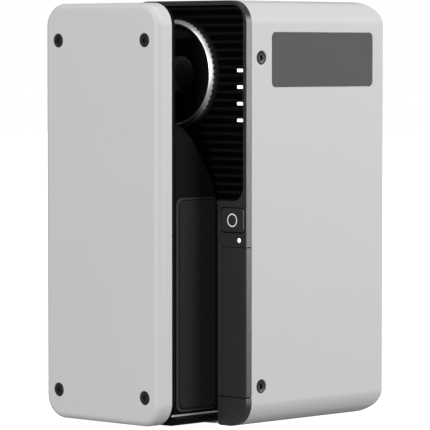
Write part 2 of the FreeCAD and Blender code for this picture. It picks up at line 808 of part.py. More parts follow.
def light_outline(margin):
    """Lowest of the four light slots in the ribbed face."""
    x, z = RIGHT - d.light_inset, d.top_light_height - (d.light_count - 1) * d.light_pitch
    half_width, half_height = d.light_width / 2 + margin, d.light_height / 2 + margin
    return rectangle(x - half_width, z - half_height, x + half_width, z + half_height)


def ribbed_face():
    """Black face with level ribs, a plain land round the lens and four light slots."""
    body = new_body("ribbed_face")
    add(body, "front", FACE_FRONT, FACE_BACK, face_outline(d.seam))
    groove_low = d.face_bottom + (d.rib_pitch - d.groove_height) / 2
    groove = cut(body, "front", FACE_FRONT, FACE_FRONT + d.groove_depth,
                 rectangle(LEFT, groove_low, RIGHT, groove_low + d.groove_height))
    repeat(body, groove, "Z_Axis", d.rib_pitch, d.rib_count)
    ring_radius = d.ring_diameter / 2
    add(body, "front", FACE_FRONT, FACE_BACK, circle(LENS_X, d.lens_height, ring_radius + d.lens_land))
    cut(body, "front", FACE_FRONT, FACE_BACK, circle(LENS_X, d.lens_height, ring_radius + d.slide_clearance))
    slot = cut(body, "front", FACE_FRONT, FACE_BACK, light_outline(d.thread_clearance))
    repeat(body, slot, "Z_Axis", d.light_pitch, d.light_count)
    return body


def face_lights():
    """Four clear light guides that fill the slots of the ribbed face."""
    body = new_body("face_lights")
    guide = add(body, "front", FACE_FRONT + d.seam, FACE_BACK, light_outline(0))
    repeat(body, guide, "Z_Axis", d.light_pitch, d.light_count)
    return body


def light_board_span(margin):
    """Lower left and upper right corners of the strip behind the four lights."""
    x, half = RIGHT - d.light_inset, d.light_board_width / 2 + margin
    high = d.top_light_height + d.light_pitch / 2
    low = high - d.light_count * d.light_pitch
    return x - half, low - margin, x + half, high + margin


def light_board():
    x0, z0, x1, z1 = light_board_span(0)
    return block("light_board", (x0, FACE_BACK + d.seam, z0), (x1, FACE_BACK + d.light_board_depth, z1))


def status_light():
    place_at = (RIGHT - d.status_light_inset, BEZEL_FRONT + d.seam, d.status_light_height)
    length = d.bezel_proud + d.chassis_setback - 2 * d.seam
    return rod("status_light", place_at, (0, 1, 0), d.status_light_diameter / 2, length)


def foot_cap():
    """Dark cap that ends the column below the battery door."""
    body = new_body("foot_cap")
    left, top = COLUMN_LEFT, d.door_bottom - d.seam
    add(body, "front", BEZEL_FRONT, SHELL_FRONT - d.thread_clearance, rectangle(left, 0, RIGHT, top))
    fillet(body, d.corner_radius, edge_at(x=RIGHT, z=0))
    fillet(body, d.door_radius, edge_at(x=left, z=0))
    add(body, "front", SHELL_FRONT - d.thread_clearance, CHASSIS_FRONT - d.seam,
        rectangle(left, INNER_WALL + d.seam, RIGHT - d.corner_radius, top))
    return body


def chassis():
    """Structural plate inside the shell's mouth: carries the grip, lens, boards and shell screws."""
    body = new_body("chassis")
    wall = INNER_WALL
    add(body, "front", CHASSIS_FRONT, CHASSIS_BACK,
        rounded(LEFT + wall, wall, RIGHT - wall, d.height - wall, d.corner_radius - wall))
    boss_y = SHELL_FRONT + d.shell_screw_setback
    boss_depth, boss_half = d.shell_screw_length, d.chassis_boss / 2
    bosses = ((LEFT + wall, LEFT + wall + boss_depth), (RIGHT - wall - boss_depth, RIGHT - wall))
    for low_x, high_x in bosses:
        for z in shell_screw_heights():
            add(body, "side", low_x, high_x,
                rectangle(CHASSIS_FRONT, z - boss_half, boss_y + boss_half, z + boss_half))
            cut(body, "side", low_x, high_x, circle(boss_y, z, d.screw_radius + d.thread_clearance))
    for opening in (circle(LENS_X, d.lens_height, REAR_TUBE + d.seam),
                    battery_outline(d.slide_clearance), stem_outline(d.slide_clearance + d.button_proud)):
        cut(body, "front", CHASSIS_FRONT, CHASSIS_BACK, opening)
    return body


def focus_ring():
    """Bright knurled ring that turns round the lens barrel."""
    body = new_body("focus_ring")
    outer, inner = d.ring_diameter / 2, RING_BORE / 2
    edge, inner_edge = d.ring_edge, d.ring_inner_edge
    revolve(body, polygon((inner + inner_edge, RING_FRONT), (outer - edge, RING_FRONT),
                          (outer, RING_FRONT + edge), (outer, RING_BACK), (inner, RING_BACK),
                          (inner, RING_FRONT + inner_edge)))
    notch = cut(body, "front", RING_FRONT + edge, RING_BACK, circle(outer, 0, d.knurl_radius))
    centre_on(notch, LENS_X, d.lens_height)
    polar(body, notch, d.knurl_count)
    return body


def centre_on(feature, x, z):
    """Move a front-view feature's sketch so that its own origin lies at (x, z)."""
    sketch = feature.Profile[0]
    bind(sketch, "AttachmentOffset.Base.x", x)
    bind(sketch, "AttachmentOffset.Base.y", z)


def polar(body, feature, count):
    """Repeat a feature evenly round its own sketch's origin."""
    pattern = body.newObject("PartDesign::PolarPattern", f"{body.Label}_round")
    pattern.Originals = [feature]
    pattern.Axis = (feature.Profile[0], ["N_Axis"])
    pattern.Angle = 360
    bind(pattern, "Occurrences", count)
    body.Tip = pattern
    return pattern


def lens_barrel():
    """Black barrel: carries the ring on its nose, the glass in it and seats on the chassis."""
    body = new_body("lens_barrel")
    nose = RING_BORE / 2 - d.running_clearance
    shoulder = d.ring_diameter / 2 - d.barrel_step
    glass, pupil = REAR_TUBE + d.seam, d.pupil_diameter / 2 + d.thread_clearance
    seat = GLASS_BACK
    floor = seat + d.pupil_depth
    behind = RING_BACK + d.seam
    revolve(body, polygon((glass, BARREL_FRONT), (nose, BARREL_FRONT), (nose, behind),
                          (shoulder, behind), (shoulder, CHASSIS_FRONT), (REAR_TUBE, CHASSIS_FRONT),
                          (REAR_TUBE, BARREL_END), (pupil, BARREL_END), (pupil, floor),
                          (glass - d.glass_edge, seat), (glass, seat)))
    return body


def dome(body, radius, rise, thickness, edge_y):
    """Lens with a flat back: a rim of the given thickness under a forward dome."""
    def draw(sketch):
        r, high, thick, edge = (as_size(v).value for v in (radius, rise, thickness, edge_y))
        points = [(0, edge - high), (0, edge + thick), (r, edge + thick), (r, edge)]
        points = [FreeCAD.Vector(a, b, 0) for a, b in points]
        line = sketch.addGeometry([Part.LineSegment(a, b) for a, b in zip(points, points[1:])])[0]
        sphere = (r * r + high * high) / (2 * high)
        half = math.asin(r / sphere)
        bow = Part.Circle(FreeCAD.Vector(0, edge - high + sphere, 0), FreeCAD.Vector(0, 0, 1), sphere)
        arc = sketch.addGeometry(Part.ArcOfCircle(bow, -math.pi / 2, -math.pi / 2 + half))
        for step in range(2):
            sketch.addConstraint(Sketcher.Constraint("Coincident", line + step, 2, line + step + 1, 1))
        sketch.addConstraint(Sketcher.Constraint("Coincident", line + 2, 2, arc, 2))
        sketch.addConstraint(Sketcher.Constraint("Coincident", line, 1, arc, 1))
        dimension(sketch, "DistanceX", arc, 3, 0)
        dimension(sketch, "DistanceX", line, 1, 0)
        dimension(sketch, "DistanceY", line, 1, edge_y - rise)
        dimension(sketch, "DistanceX", line, 2, 0)
        dimension(sketch, "DistanceY", line, 2, edge_y + thickness)
        dimension(sketch, "DistanceX", line + 1, 2, radius)
        dimension(sketch, "DistanceY", line + 1, 2, edge_y + thickness)
        dimension(sketch, "DistanceX", line + 2, 2, radius)
        dimension(sketch, "DistanceY", line + 2, 2, edge_y)
    revolve(body, draw)
    return body


def front_glass():
    """Domed front element of the lens."""
    body = new_body("front_glass")
    thickness = d.glass_seat - d.glass_edge
    return dome(body, REAR_TUBE, d.glass_rise, thickness, GLASS_BACK - thickness - d.seam)


def pupil_lens():
    """Small inner element behind the front glass."""
    body = new_body("pupil_lens")
    edge = GLASS_BACK + d.pupil_depth
    return dome(body, d.pupil_diameter / 2, d.pupil_rise, d.pupil_thickness, edge)


def power_button():
    """Rounded key on a square stem, kept in by a flange behind the bezel."""
    body = new_body("power_button")
    front = BEZEL_FRONT - d.button_proud
    back = front + d.button_thickness
    add(body, "front", front, back, button_outline(0))
    fillet(body, d.button_edge, edge_at(y=front))
    add(body, "front", back, STEM_END, stem_outline(0))
    add(body, "front", STEM_FLANGE_FRONT, STEM_END, stem_outline(d.flange_width))
    cut(body, "front", front, front + d.icon_depth, *icon_outline(d.thread_clearance))
    return body


def icon_outline(margin):
    """Two circles that bound the light ring on the button."""
    outer = d.icon_diameter / 2
    return (circle(BUTTON_X, d.button_centre_height, outer + margin),
            circle(BUTTON_X, d.button_centre_height, outer - d.icon_line - margin))


def button_ring():
    """Pale light ring let into the button."""
    body = new_body("button_ring")
    front = BEZEL_FRONT - d.button_proud
    add(body, "front", front + d.thread_clearance, front + d.icon_depth, *icon_outline(0))
    return body


def button_switch():
    """Tactile switch under the stem, let into the chassis."""
    half = d.stem_size / 2
    x, z = BUTTON_X, d.button_centre_height
    front = STEM_END + d.button_travel + d.seam
    return block("button_switch", (x - half, front, z - half), (x + half, CHASSIS_BACK, z + half))


def battery_door():
    """Dark end of the battery that fills the column and wraps its side."""
    body = new_body("battery_door")
    left, low = DOOR_LEFT + d.seam, d.door_bottom + d.seam
    add(body, "front", BEZEL_FRONT, BATTERY_FRONT, rectangle(left, low, RIGHT, d.door_top - d.seam))
    fillet(body, d.door_radius, edge_at(x=left, z=low))
    return body


def battery_pack():
    """Flat battery that slides out of the column with its door."""
    body = new_body("battery_pack")
    add(body, "front", BATTERY_FRONT, BATTERY_END, battery_outline(0))
    return body


def battery_bay():
    """Sleeve that guides the battery, closed at its far end."""
    body = new_body("battery_bay")
    clear = d.slide_clearance
    outside = battery_outline(clear + d.bay_wall - d.thread_clearance)
    add(body, "front", CHASSIS_BACK, BAY_END + d.bay_wall, outside)
    cut(body, "front", CHASSIS_BACK, BAY_END, battery_outline(clear))
    return body


def battery_contacts():
    """Spring blades at the far end of the bay, just clear of the battery."""
    y = BATTERY_END + d.slide_clearance
    half_width, half_height = d.contact_width / 2, d.contact_height / 2
    return group("battery_contacts", [
        block(f"battery_contact_{number}", (BATTERY_X - half_width, y, BATTERY_Z + up - half_height),
              (BATTERY_X + half_width, BAY_END, BATTERY_Z + up + half_height))
        for number, up in enumerate((d.contact_pitch * step for step in (-2, -1, 1, 2)), start=1)])


def board_span():
    """Left, right, bottom and top of the main board."""
    right = BATTERY_X - BATTERY_THICKNESS / 2 - d.board_right_gap
    return LEFT + d.board_left_gap, right, d.board_bottom, d.height - d.board_top_gap


def main_board():
    left, right, low, high = board_span()
    return block("main_board", (left, BOARD_FRONT, low), (right, BOARD_BACK, high))


def board_standoffs():
    left, right, low, high = board_span()
    inset = d.standoff_inset
    corners = [(x, z) for x in (left + inset, right - inset) for z in (low + inset, high - inset)]
    return group("board_standoffs", [
        rod(f"standoff_{number}", (x, CHASSIS_BACK, z), (0, 1, 0), d.standoff_radius,
            BOARD_FRONT - CHASSIS_BACK) for number, (x, z) in enumerate(corners)])


def processor():
    x, z, half = TOWER_MIDDLE, d.fan_centre_height, d.chip_width / 2
    return block("processor", (x - half, BOARD_BACK, z - half), (x + half, HEAT_SINK_FRONT, z + half))


def heat_sink():
    """Base plate on the processor with upright fins in front of the fan."""
    body = new_body("heat_sink")
    half = d.fan_size / 2 - d.fan_wall
    z, base = d.fan_centre_height, HEAT_SINK_FRONT + d.sink_base
    add(body, "front", HEAT_SINK_FRONT, base,
        rectangle(TOWER_MIDDLE - half, z - half, TOWER_MIDDLE + half, z + half))
    first = TOWER_MIDDLE - ((d.fin_count - 1) * d.fin_pitch + d.fin_thickness) / 2
    fin = add(body, "front", base - d.fin_thickness, HEAT_SINK_FRONT + d.heat_sink_depth,
              rectangle(first, z - half, first + d.fin_thickness, z + half))
    repeat(body, fin, "X_Axis", d.fin_pitch, d.fin_count)
    return body


def fan_housing():
    """Square fan frame behind the heat sink; four arms carry its motor seat."""
    body = new_body("fan_housing")
    x, z, half = TOWER_MIDDLE, d.fan_centre_height, d.fan_size / 2
    end = FAN_FRONT + d.fan_depth
    add(body, "front", FAN_FRONT, end, rounded(x - half, z - half, x + half, z + half, d.fan_corner))
    cut(body, "front", FAN_FRONT, end, circle(x, z, half - d.fan_wall))
    seat, reach, half_arm = end - d.fan_arm_depth, half - d.fan_wall / 2, d.fan_arm / 2
    add(body, "front", seat, end, rectangle(x - reach, z - half_arm, x + reach, z + half_arm))
    add(body, "front", seat, end, rectangle(x - half_arm, z - reach, x + half_arm, z + reach))
    add(body, "front", seat, end, circle(x, z, d.fan_hub_radius))
    cut(body, "front", seat, end, circle(x, z, d.fan_shaft_radius + d.running_clearance))
    return body


def fan_rotor():
    """Hub with straight blades on a shaft that turns in the housing."""
    body = new_body("fan_rotor")
    end = FAN_FRONT + d.fan_depth
    front, back = FAN_FRONT + d.fan_wall, end - d.fan_arm_depth - d.fan_end_gap
    hub = add(body, "front", front, back, circle(0, 0, d.fan_hub_radius))
    centre_on(hub, TOWER_MIDDLE, d.fan_centre_height)
    shaft = add(body, "front", back, end - d.fan_end_gap, circle(0, 0, d.fan_shaft_radius))
    centre_on(shaft, TOWER_MIDDLE, d.fan_centre_height)
    tip, half_blade = d.fan_size / 2 - d.fan_wall - 2 * d.slide_clearance, d.blade_thickness / 2
    blade = add(body, "front", front, back,
                rectangle(d.fan_hub_radius - d.fan_wall, half_blade * -1, tip, half_blade))
    centre_on(blade, TOWER_MIDDLE, d.fan_centre_height)
    polar(body, blade, d.blade_count)
    return body


def camera_board():
    """Sensor board across the end of the lens barrel."""
    half = REAR_TUBE - d.camera_board_inset
    y = BARREL_END + d.thread_clearance
    return block("camera_board", (LENS_X - half, y, d.lens_height - half),
                 (LENS_X + half, y + d.board_thickness, d.lens_height + half))


def usb_socket():
    """Metal socket behind the opening in the back wall."""
    body = new_body("usb_socket")
    back = BACK - d.usb_inset
    front = back - d.usb_depth
    end_wall = front + d.usb_end_wall
    add(body, "front", front, back, usb_outline(0))
    cut(body, "front", end_wall, back, usb_outline(d.usb_wall * -1))
    half_width, half_height = d.usb_tongue_width / 2, d.usb_tongue_height / 2
    tongue = rectangle(TOWER_MIDDLE - half_width, d.usb_centre_height - half_height,
                       TOWER_MIDDLE + half_width, d.usb_centre_height + half_height)
    add(body, "front", end_wall - d.usb_wall, back - 2 * d.usb_wall, tongue)
    return body


def port_board():
    top, half = d.usb_centre_height - d.usb_height / 2, d.port_board_width / 2
    return block("port_board", (TOWER_MIDDLE - half, BACK - d.port_board_back_gap, top - d.board_thickness),
                 (TOWER_MIDDLE + half, BACK - d.shell_wall - d.port_board_gap, top))


def tripod_insert():
    """Flanged steel insert with a tripod thread, open downwards."""
    body = new_body("tripod_insert")
    x, y, wall = TOWER_MIDDLE, tripod_y(), d.shell_wall
    low, top = d.tripod_insert_inset, d.tripod_insert_height
    add(body, "top", low, top, circle(x, y, d.tripod_insert_radius))
    add(body, "top", wall + d.thread_clearance, wall + d.tripod_flange_thickness,
        circle(x, y, d.tripod_insert_radius + d.tripod_flange_width))
    cut(body, "top", low, top - d.tripod_cap, circle(x, y, d.tripod_thread_radius))
    return body


def check_document():
    """Stop on a feature that failed, which a recompute alone doesn't report."""
    doc.recompute()
    failed = [item.Name for item in doc.Objects if {"Invalid", "Error"} & set(item.State)]
    if failed:
        sys.exit(f"failed features: {failed}")


def write_parts(nodes):
    os.makedirs("parts", exist_ok=True)
    for node in nodes:
        if node.Shape.isNull() or not node.Shape.isValid():
            sys.exit(f"{node.Label} has no valid shape")
        node.Shape.exportStep(f"parts/{node.Label}.step")


def main():
    single = (rear_shell, side_window, shell_screws, front_bezel, ribbed_face, face_lights, light_board,
              status_light, foot_cap, chassis, front_cover, cover_screws, front_backplate, grip_core,
              bottom_tray, lens_barrel, front_glass, pupil_lens, focus_ring, camera_board, power_button,
              button_ring, button_switch, battery_door, battery_pack, battery_bay, battery_contacts,
              main_board, board_standoffs, processor, heat_sink, fan_housing, fan_rotor, usb_socket,
              port_board, tripod_insert)
    nodes = [make() for make in single] + grip_pads()
    check_document()
    write_parts(nodes)


main()
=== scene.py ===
"""Looks of a handheld 3-D scanner: white tower, dark grip waist and white front cover."""
import math

import bmesh
import bpy
from bpy.props import FloatProperty, FloatVectorProperty, IntProperty, PointerProperty
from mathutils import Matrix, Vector


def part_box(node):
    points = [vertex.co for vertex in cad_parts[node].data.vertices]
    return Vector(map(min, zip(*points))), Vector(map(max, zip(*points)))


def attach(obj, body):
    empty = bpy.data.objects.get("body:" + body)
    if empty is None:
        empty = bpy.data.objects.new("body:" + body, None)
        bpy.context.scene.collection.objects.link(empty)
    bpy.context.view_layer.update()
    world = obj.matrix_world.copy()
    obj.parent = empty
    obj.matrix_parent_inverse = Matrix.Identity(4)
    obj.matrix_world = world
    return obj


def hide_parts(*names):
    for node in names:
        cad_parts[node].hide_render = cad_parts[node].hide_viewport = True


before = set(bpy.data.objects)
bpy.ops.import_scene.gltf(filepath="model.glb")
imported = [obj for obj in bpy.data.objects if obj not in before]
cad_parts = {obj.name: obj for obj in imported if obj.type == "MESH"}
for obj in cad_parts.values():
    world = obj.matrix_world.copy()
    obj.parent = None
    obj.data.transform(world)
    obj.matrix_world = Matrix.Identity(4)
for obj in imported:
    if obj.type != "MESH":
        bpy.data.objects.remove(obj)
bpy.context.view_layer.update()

bl_info = {
    "name": "Handheld scanner looks",
    "version": (1, 0, 0),
    "blender": (4, 5, 0),
    "location": "View3D > Sidebar > Scanner",
    "description": "Detailed shells, lens, grip and finishes of a handheld scanner",
    "category": "Mesh",
}

MM = 0.001
PAST = 5 * MM  # how far a cutter runs past what it cuts
X_AXIS, Y_AXIS, Z_AXIS = Vector((1, 0, 0)), Vector((0, 1, 0)), Vector((0, 0, 1))


def length(label, default, description):
    return FloatProperty(name=label, description=description, default=default, unit="LENGTH", min=0.0)


def shade(label, value, description):
    return FloatVectorProperty(name=label, description=description, default=(value, value, value),
                               subtype="COLOR", size=3, min=0.0, max=1.0)


class ScannerSizes(bpy.types.PropertyGroup):
    """Sizes of the visible surfaces that a user would change."""
    corner_radius: length("Corner radius", 10 * MM, "Corners of both white housings, seen from the front")
    cover_edge: length("Cover edge", 3 * MM, "Round edge of the front cover's face")
    wall: length("Wall", 2 * MM, "Thickness of the white shells")
    seam: length("Seam", 0.15 * MM, "Gap between neighbouring pieces")
    rim_radius: length("Rim radius", 6 * MM, "Inner corners of the frame round the ribbed face")
    key_radius: length("Key radius", 1.7 * MM, "Corners of the power key and the battery door")
    window_radius: length("Window radius", 2.3 * MM, "Corners of the side window")
    edge_break: length("Edge break", 0.3 * MM, "Small round on moulded edges")
    head_radius: length("Screw head radius", 2.8 * MM, "Head of the socket screws")
    head_height: length("Screw head height", 1.9 * MM, "Height of the socket screws' heads")
    rib_pitch: length("Rib pitch", 3.53 * MM, "Distance between ribs of the black face")
    groove_height: length("Groove height", 1.9 * MM, "Height of the grooves between ribs")
    ring_width: length("Ring width", 2.2 * MM, "Width of the bright ring's face")
    scallops: IntProperty(name="Scallops", description="Hollows round the bright ring", default=60, min=8)
    pad_radius: length("Pad radius", 3.3 * MM, "Corners of the grip pad")


class ScannerColours(bpy.types.PropertyGroup):
    """Base colours of the finishes."""
    shell: shade("Shell", 0.62, "White powder coat of the shells")
    window: shade("Window", 0.085, "Grey side window")
    bezel: shade("Bezel", 0.025, "Dark frame, column and battery door")
    face: shade("Face", 0.005, "Black ribbed face")
    grip: shade("Grip", 0.004, "Dark grip body")
    pad: shade("Pad", 0.012, "Soft grip pad")
    trim: shade("Trim", 0.02, "Strip round the grip pad")
    metal: shade("Metal", 0.8, "Bright lens ring")


# ---------------------------------------------------------------- modelling helpers

def only(piece):
    """Select one piece and nothing else, and make it active."""
    if bpy.context.object and bpy.context.object.mode != "OBJECT":
        bpy.ops.object.mode_set(mode="OBJECT")
    bpy.ops.object.select_all(action="DESELECT")
    piece.select_set(True)
    bpy.context.view_layer.objects.active = piece
    return piece


def named(name):
    """Name the object that was just added and put its place into its mesh."""
    piece = bpy.context.object
    piece.name = name
    piece.data.name = name
    only(piece)
    bpy.ops.object.transform_apply(location=True, rotation=True, scale=True)
    return piece


def slab(name, low, high):
    low, high = Vector(low), Vector(high)
    bpy.ops.object.select_all(action="DESELECT")
    bpy.ops.mesh.primitive_cube_add(size=1, location=(low + high) / 2, scale=high - low)
    return named(name)


def pick(piece, kind, chosen):
    """In edit mode, select the edges or faces for which chosen(element) is true."""
    bpy.ops.mesh.select_mode(type=kind)
    bpy.ops.mesh.select_all(action="DESELECT")
    mesh = bmesh.from_edit_mesh(piece.data)
    elements = mesh.faces if kind == "FACE" else mesh.edges if kind == "EDGE" else mesh.verts
    for element in elements:
        if chosen(element):
            element.select_set(True)
    bmesh.update_edit_mesh(piece.data)


def edit(piece):
    only(piece)
    bpy.ops.object.mode_set(mode="EDIT")


def done():
    bpy.ops.object.mode_set(mode="OBJECT")


def round_edges(piece, radius, segments, chosen):
    """Bevel the chosen edges to a round."""
    edit(piece)
    pick(piece, "EDGE", chosen)
    bpy.ops.mesh.bevel(offset=radius, segments=segments, affect="EDGES", clamp_overlap=False)
    done()
    return piece


def along(axis, **ends):
    """Test for edges along an axis, where x, y or z also lies near the given value."""
    def chosen(edge):
        first, second = (vertex.co for vertex in edge.verts)
        run = second - first
        if abs(run.dot(axis)) < 0.999 * run.length:
            return False
        return all(abs(getattr(point, name) - value) < 0.02 * MM
                   for name, value in ends.items() for point in (first, second))
    return chosen


def lying_at(**ends):
    """Test for edges that lie wholly at the given x, y or z."""
    def chosen(edge):
        return all(abs(getattr(vertex.co, name) - value) < 0.02 * MM
                   for name, value in ends.items() for vertex in edge.verts)
    return chosen


def rounded_slab(name, low, high, radius, axis=Y_AXIS, segments=12):
    """Slab whose four edges along one axis are rounded."""
    piece = slab(name, low, high)
    return round_edges(piece, radius, segments, along(axis)) if radius else piece


def boolean(piece, tool, operation="DIFFERENCE"):
    """Apply a boolean with another object, which is used up."""
    only(piece)
    change = piece.modifiers.new(operation.title(), "BOOLEAN")
    change.operation = operation
    change.object = tool
    change.solver = "EXACT"
    bpy.ops.object.modifier_apply(modifier=change.name)
    bpy.data.objects.remove(tool)
    return piece


def copy_of(piece, name, offset=(0, 0, 0)):
    """Copy with a mesh of its own, moved by an offset."""
    twin = piece.copy()
    twin.data = piece.data.copy()
    twin.name = twin.data.name = name
    bpy.context.scene.collection.objects.link(twin)
    only(twin)
    twin.location = Vector(offset)
    bpy.ops.object.transform_apply(location=True, rotation=True, scale=True)
    return twin


def joined(pieces, name):
    only(pieces[0])
    for piece in pieces[1:]:
        piece.select_set(True)
    bpy.ops.object.join()
    pieces[0].name = pieces[0].data.name = name
    return pieces[0]


def lathe(name, profile, centre, axis=Y_AXIS, steps=96):
    """Solid of revolution from a closed outline of (radius, distance along the axis) points."""
    across = Z_AXIS if axis != Z_AXIS else X_AXIS
    centre = Vector(centre)
    bpy.ops.object.select_all(action="DESELECT")
    bpy.ops.mesh.primitive_circle_add(vertices=len(profile), radius=MM, location=(0, 0, 0))
    piece = named(name)
    edit(piece)
    mesh = bmesh.from_edit_mesh(piece.data)
    mesh.verts.ensure_lookup_table()
    for vertex, (radius, run) in zip(mesh.verts, profile):
        vertex.co = centre + across * radius + axis * run
    bmesh.update_edit_mesh(piece.data)
    bpy.ops.mesh.select_all(action="SELECT")
    bpy.ops.mesh.spin(steps=steps, angle=2 * math.pi, center=centre, axis=axis, use_auto_merge=True)
    bpy.ops.mesh.select_all(action="SELECT")
    bpy.ops.mesh.remove_doubles(threshold=0.002 * MM)
    bpy.ops.mesh.delete_loose(use_verts=True, use_edges=True, use_faces=False)
    bpy.ops.mesh.select_all(action="SELECT")
    bpy.ops.mesh.normals_make_consistent(inside=False)
    done()
    return piece


def bore(piece, centre, axis, radius, depth, chamfer=0.25 * MM):
    """Cut a round recess whose mouth at centre has a small chamfer; the axis points inwards."""
    tool = lathe("bore", [(0, -MM), (radius + chamfer, -MM), (radius + chamfer, 0), (radius, chamfer),
                          (radius, depth), (0, depth)], centre, axis, 48)
    return boolean(piece, tool)


def soften(piece, width, segments=2, angle=50):
    """Break every sharp edge and smooth the rest."""
    only(piece)
    edges = piece.modifiers.new("Edges", "BEVEL")
    edges.width = width
    edges.segments = segments
    edges.limit_method = "ANGLE"
    edges.angle_limit = math.radians(angle)
    edges.use_clamp_overlap = True
    bpy.ops.object.modifier_apply(modifier=edges.name)
    return smooth(piece)


def smooth(piece, angle=32):
    """Shade rounds smoothly and keep large faces flat."""
    only(piece)
    bpy.ops.object.shade_smooth_by_angle(angle=math.radians(angle))
    weighted = piece.modifiers.new("Flats", "WEIGHTED_NORMAL")
    weighted.keep_sharp = True
    weighted.weight = 100
    bpy.ops.object.modifier_apply(modifier=weighted.name)
    return piece


def finish(piece, slot, body="housing", nodes=(), look=None):
    """Give a piece its material and its body, and hide the CAD nodes it stands for; slot names the material
    when no look is given.
    """
    piece.data.materials.clear()
    piece.data.materials.append(material_of(look or slot))
    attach(piece, body)
    if nodes:
        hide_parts(*nodes)
    return piece


def corners(node):
    low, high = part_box(node)
    return Vector(low), Vector(high)


# ---------------------------------------------------------------- materials

class Wire:
    """A shader output that Python arithmetic can use; each operator adds a Math node."""

    def __init__(self, tree, output):
        self.tree = tree
        self.output = output

    def math(self, operation, first, second):
        node = self.tree.nodes.new("ShaderNodeMath")
        node.operation = operation
        for socket, value in zip(node.inputs, (first, second)):
            if isinstance(value, Wire):
                self.tree.links.new(value.output, socket)
            else:
                socket.default_value = value
        return Wire(self.tree, node.outputs[0])

    def __add__(self, other):
        return self.math("ADD", self, other)

    def __radd__(self, other):
        return self.math("ADD", other, self)

    def __sub__(self, other):
        return self.math("SUBTRACT", self, other)

    def __rsub__(self, other):
        return self.math("SUBTRACT", other, self)

    def __mul__(self, other):
        return self.math("MULTIPLY", self, other)

    def __rmul__(self, other):
        return self.math("MULTIPLY", other, self)


class Finish:
    """One material under construction, with its fixed values set on the shader's own sockets."""

    def __init__(self, name, **fixed):
        self.material = bpy.data.materials.new(name)
        self.material.use_nodes = True
        self.tree = self.material.node_tree
        self.shader = self.tree.nodes["Principled BSDF"]
        for socket, value in fixed.items():
            self.shader.inputs[socket.replace("_", " ")].default_value = value
        self.place = self.node("ShaderNodeTexCoord", "Object")

    def node(self, kind, output, settings=None, **inputs):
        node = self.tree.nodes.new(kind)
        for setting, value in (settings or {}).items():
            setattr(node, setting, value)
        for socket, value in inputs.items():
            self.join(value, node.inputs[socket.replace("_", " ")])
        return Wire(self.tree, node.outputs[output])

    def join(self, value, socket):
        if isinstance(value, Wire):
            self.tree.links.new(value.output, socket)
        else:
            socket.default_value = value

    def noise(self, size, detail=3.0, stretch=(1, 1, 1)):
        """Noise whose blotches are about the given size, drawn out where stretch is below 1."""
        placed = self.node("ShaderNodeMapping", "Vector", Vector=self.place, Scale=stretch)
        return self.node("ShaderNodeTexNoise", "Fac", Vector=placed, Scale=1 / size, Detail=detail)

    def colour(self, share, dark, light):
        """Mix two colours by a share and send them to the base colour."""
        mix = self.tree.nodes.new("ShaderNodeMix")
        mix.data_type = "RGBA"
        self.join(share, mix.inputs[0])
        mix.inputs[6].default_value = (*dark, 1)
        mix.inputs[7].default_value = (*light, 1)
        self.tree.links.new(mix.outputs[2], self.shader.inputs["Base Color"])

    def rough(self, value):
        self.join(value, self.shader.inputs["Roughness"])

    def bump(self, height, depth):
        bump = self.node("ShaderNodeBump", "Normal", Height=height, Distance=depth)
        self.join(bump, self.shader.inputs["Normal"])


def tinted(colour, share):
    """A colour made darker or lighter by a share."""
    return tuple(min(1.0, max(0.0, part * share)) for part in colour)


def grained(name, colour, roughness, grain, depth, spread=0.12, **fixed):
    """Even finish with a fine grain: colour, roughness and relief follow it a little."""
    look = Finish(name, **fixed)
    fine = look.noise(grain)
    cloudy = look.noise(grain * 60, detail=2.0)
    look.colour(fine * 0.6 + cloudy * 0.4, tinted(colour, 1 - spread), tinted(colour, 1 + spread))
    look.rough(roughness + (fine - 0.5) * 0.16 + (cloudy - 0.5) * 0.08)
    look.bump(fine, depth)
    return look.material


def colours():
    return bpy.context.scene.scanner_colours


def white_shell(name):
    """Fine satin powder coat: a soft pebble of about half a millimetre."""
    look = Finish(name)
    pebble = look.noise(0.5 * MM, detail=2.0)
    speck = look.noise(0.16 * MM)
    cloudy = look.noise(26 * MM)
    base = tuple(colours().shell)
    look.colour(cloudy * 0.5 + speck * 0.5, tinted(base, 0.975), tinted(base, 1.025))
    look.rough(0.5 + (pebble - 0.5) * 0.2)
    look.bump(pebble * 0.7 + speck * 0.3, 0.012 * MM)
    return look.material


def window_grey(name):
    return grained(name, tuple(colours().window), 0.6, 0.3 * MM, 0.003 * MM, spread=0.04,
                   Specular_IOR_Level=0.3)


def bezel_dark(name):
    """Satin anodised metal: fine blasted grain that picks up the studio lights at a slant."""
    return grained(name, tuple(colours().bezel), 0.33, 0.22 * MM, 0.004 * MM, spread=0.12,
                   Specular_IOR_Level=0.7)


def face_black(name):
    """Deep black moulding with painted shade: its colour darkens with depth behind the ribbed face's front
    and is blackest at the bottom of its grooves.
    """
    look = Finish(name, Specular_IOR_Level=0.04)
    fine = look.noise(0.3 * MM)
    parts = look.tree.nodes.new("ShaderNodeSeparateXYZ")
    look.join(look.place, parts.inputs[0])
    # Painted shade: the colour goes from the face colour at the ribs' front to near black at the groove
    # floor.
    groove_shade = (Wire(look.tree, parts.outputs[1]) - corners("ribbed_face")[0].y) * (1 / GROOVE_DEPTH)
    look.colour(fine * 0.3 + 0.85 - groove_shade, tinted(colours().face, 0.05), tuple(colours().face))
    look.rough(0.5 + (fine - 0.5) * 0.16)
    look.bump(fine, 0.006 * MM)
    return look.material


def grip_black(name):
    return grained(name, tuple(colours().grip), 0.7, 0.35 * MM, 0.01 * MM, spread=0.25,
                   Specular_IOR_Level=0.06)


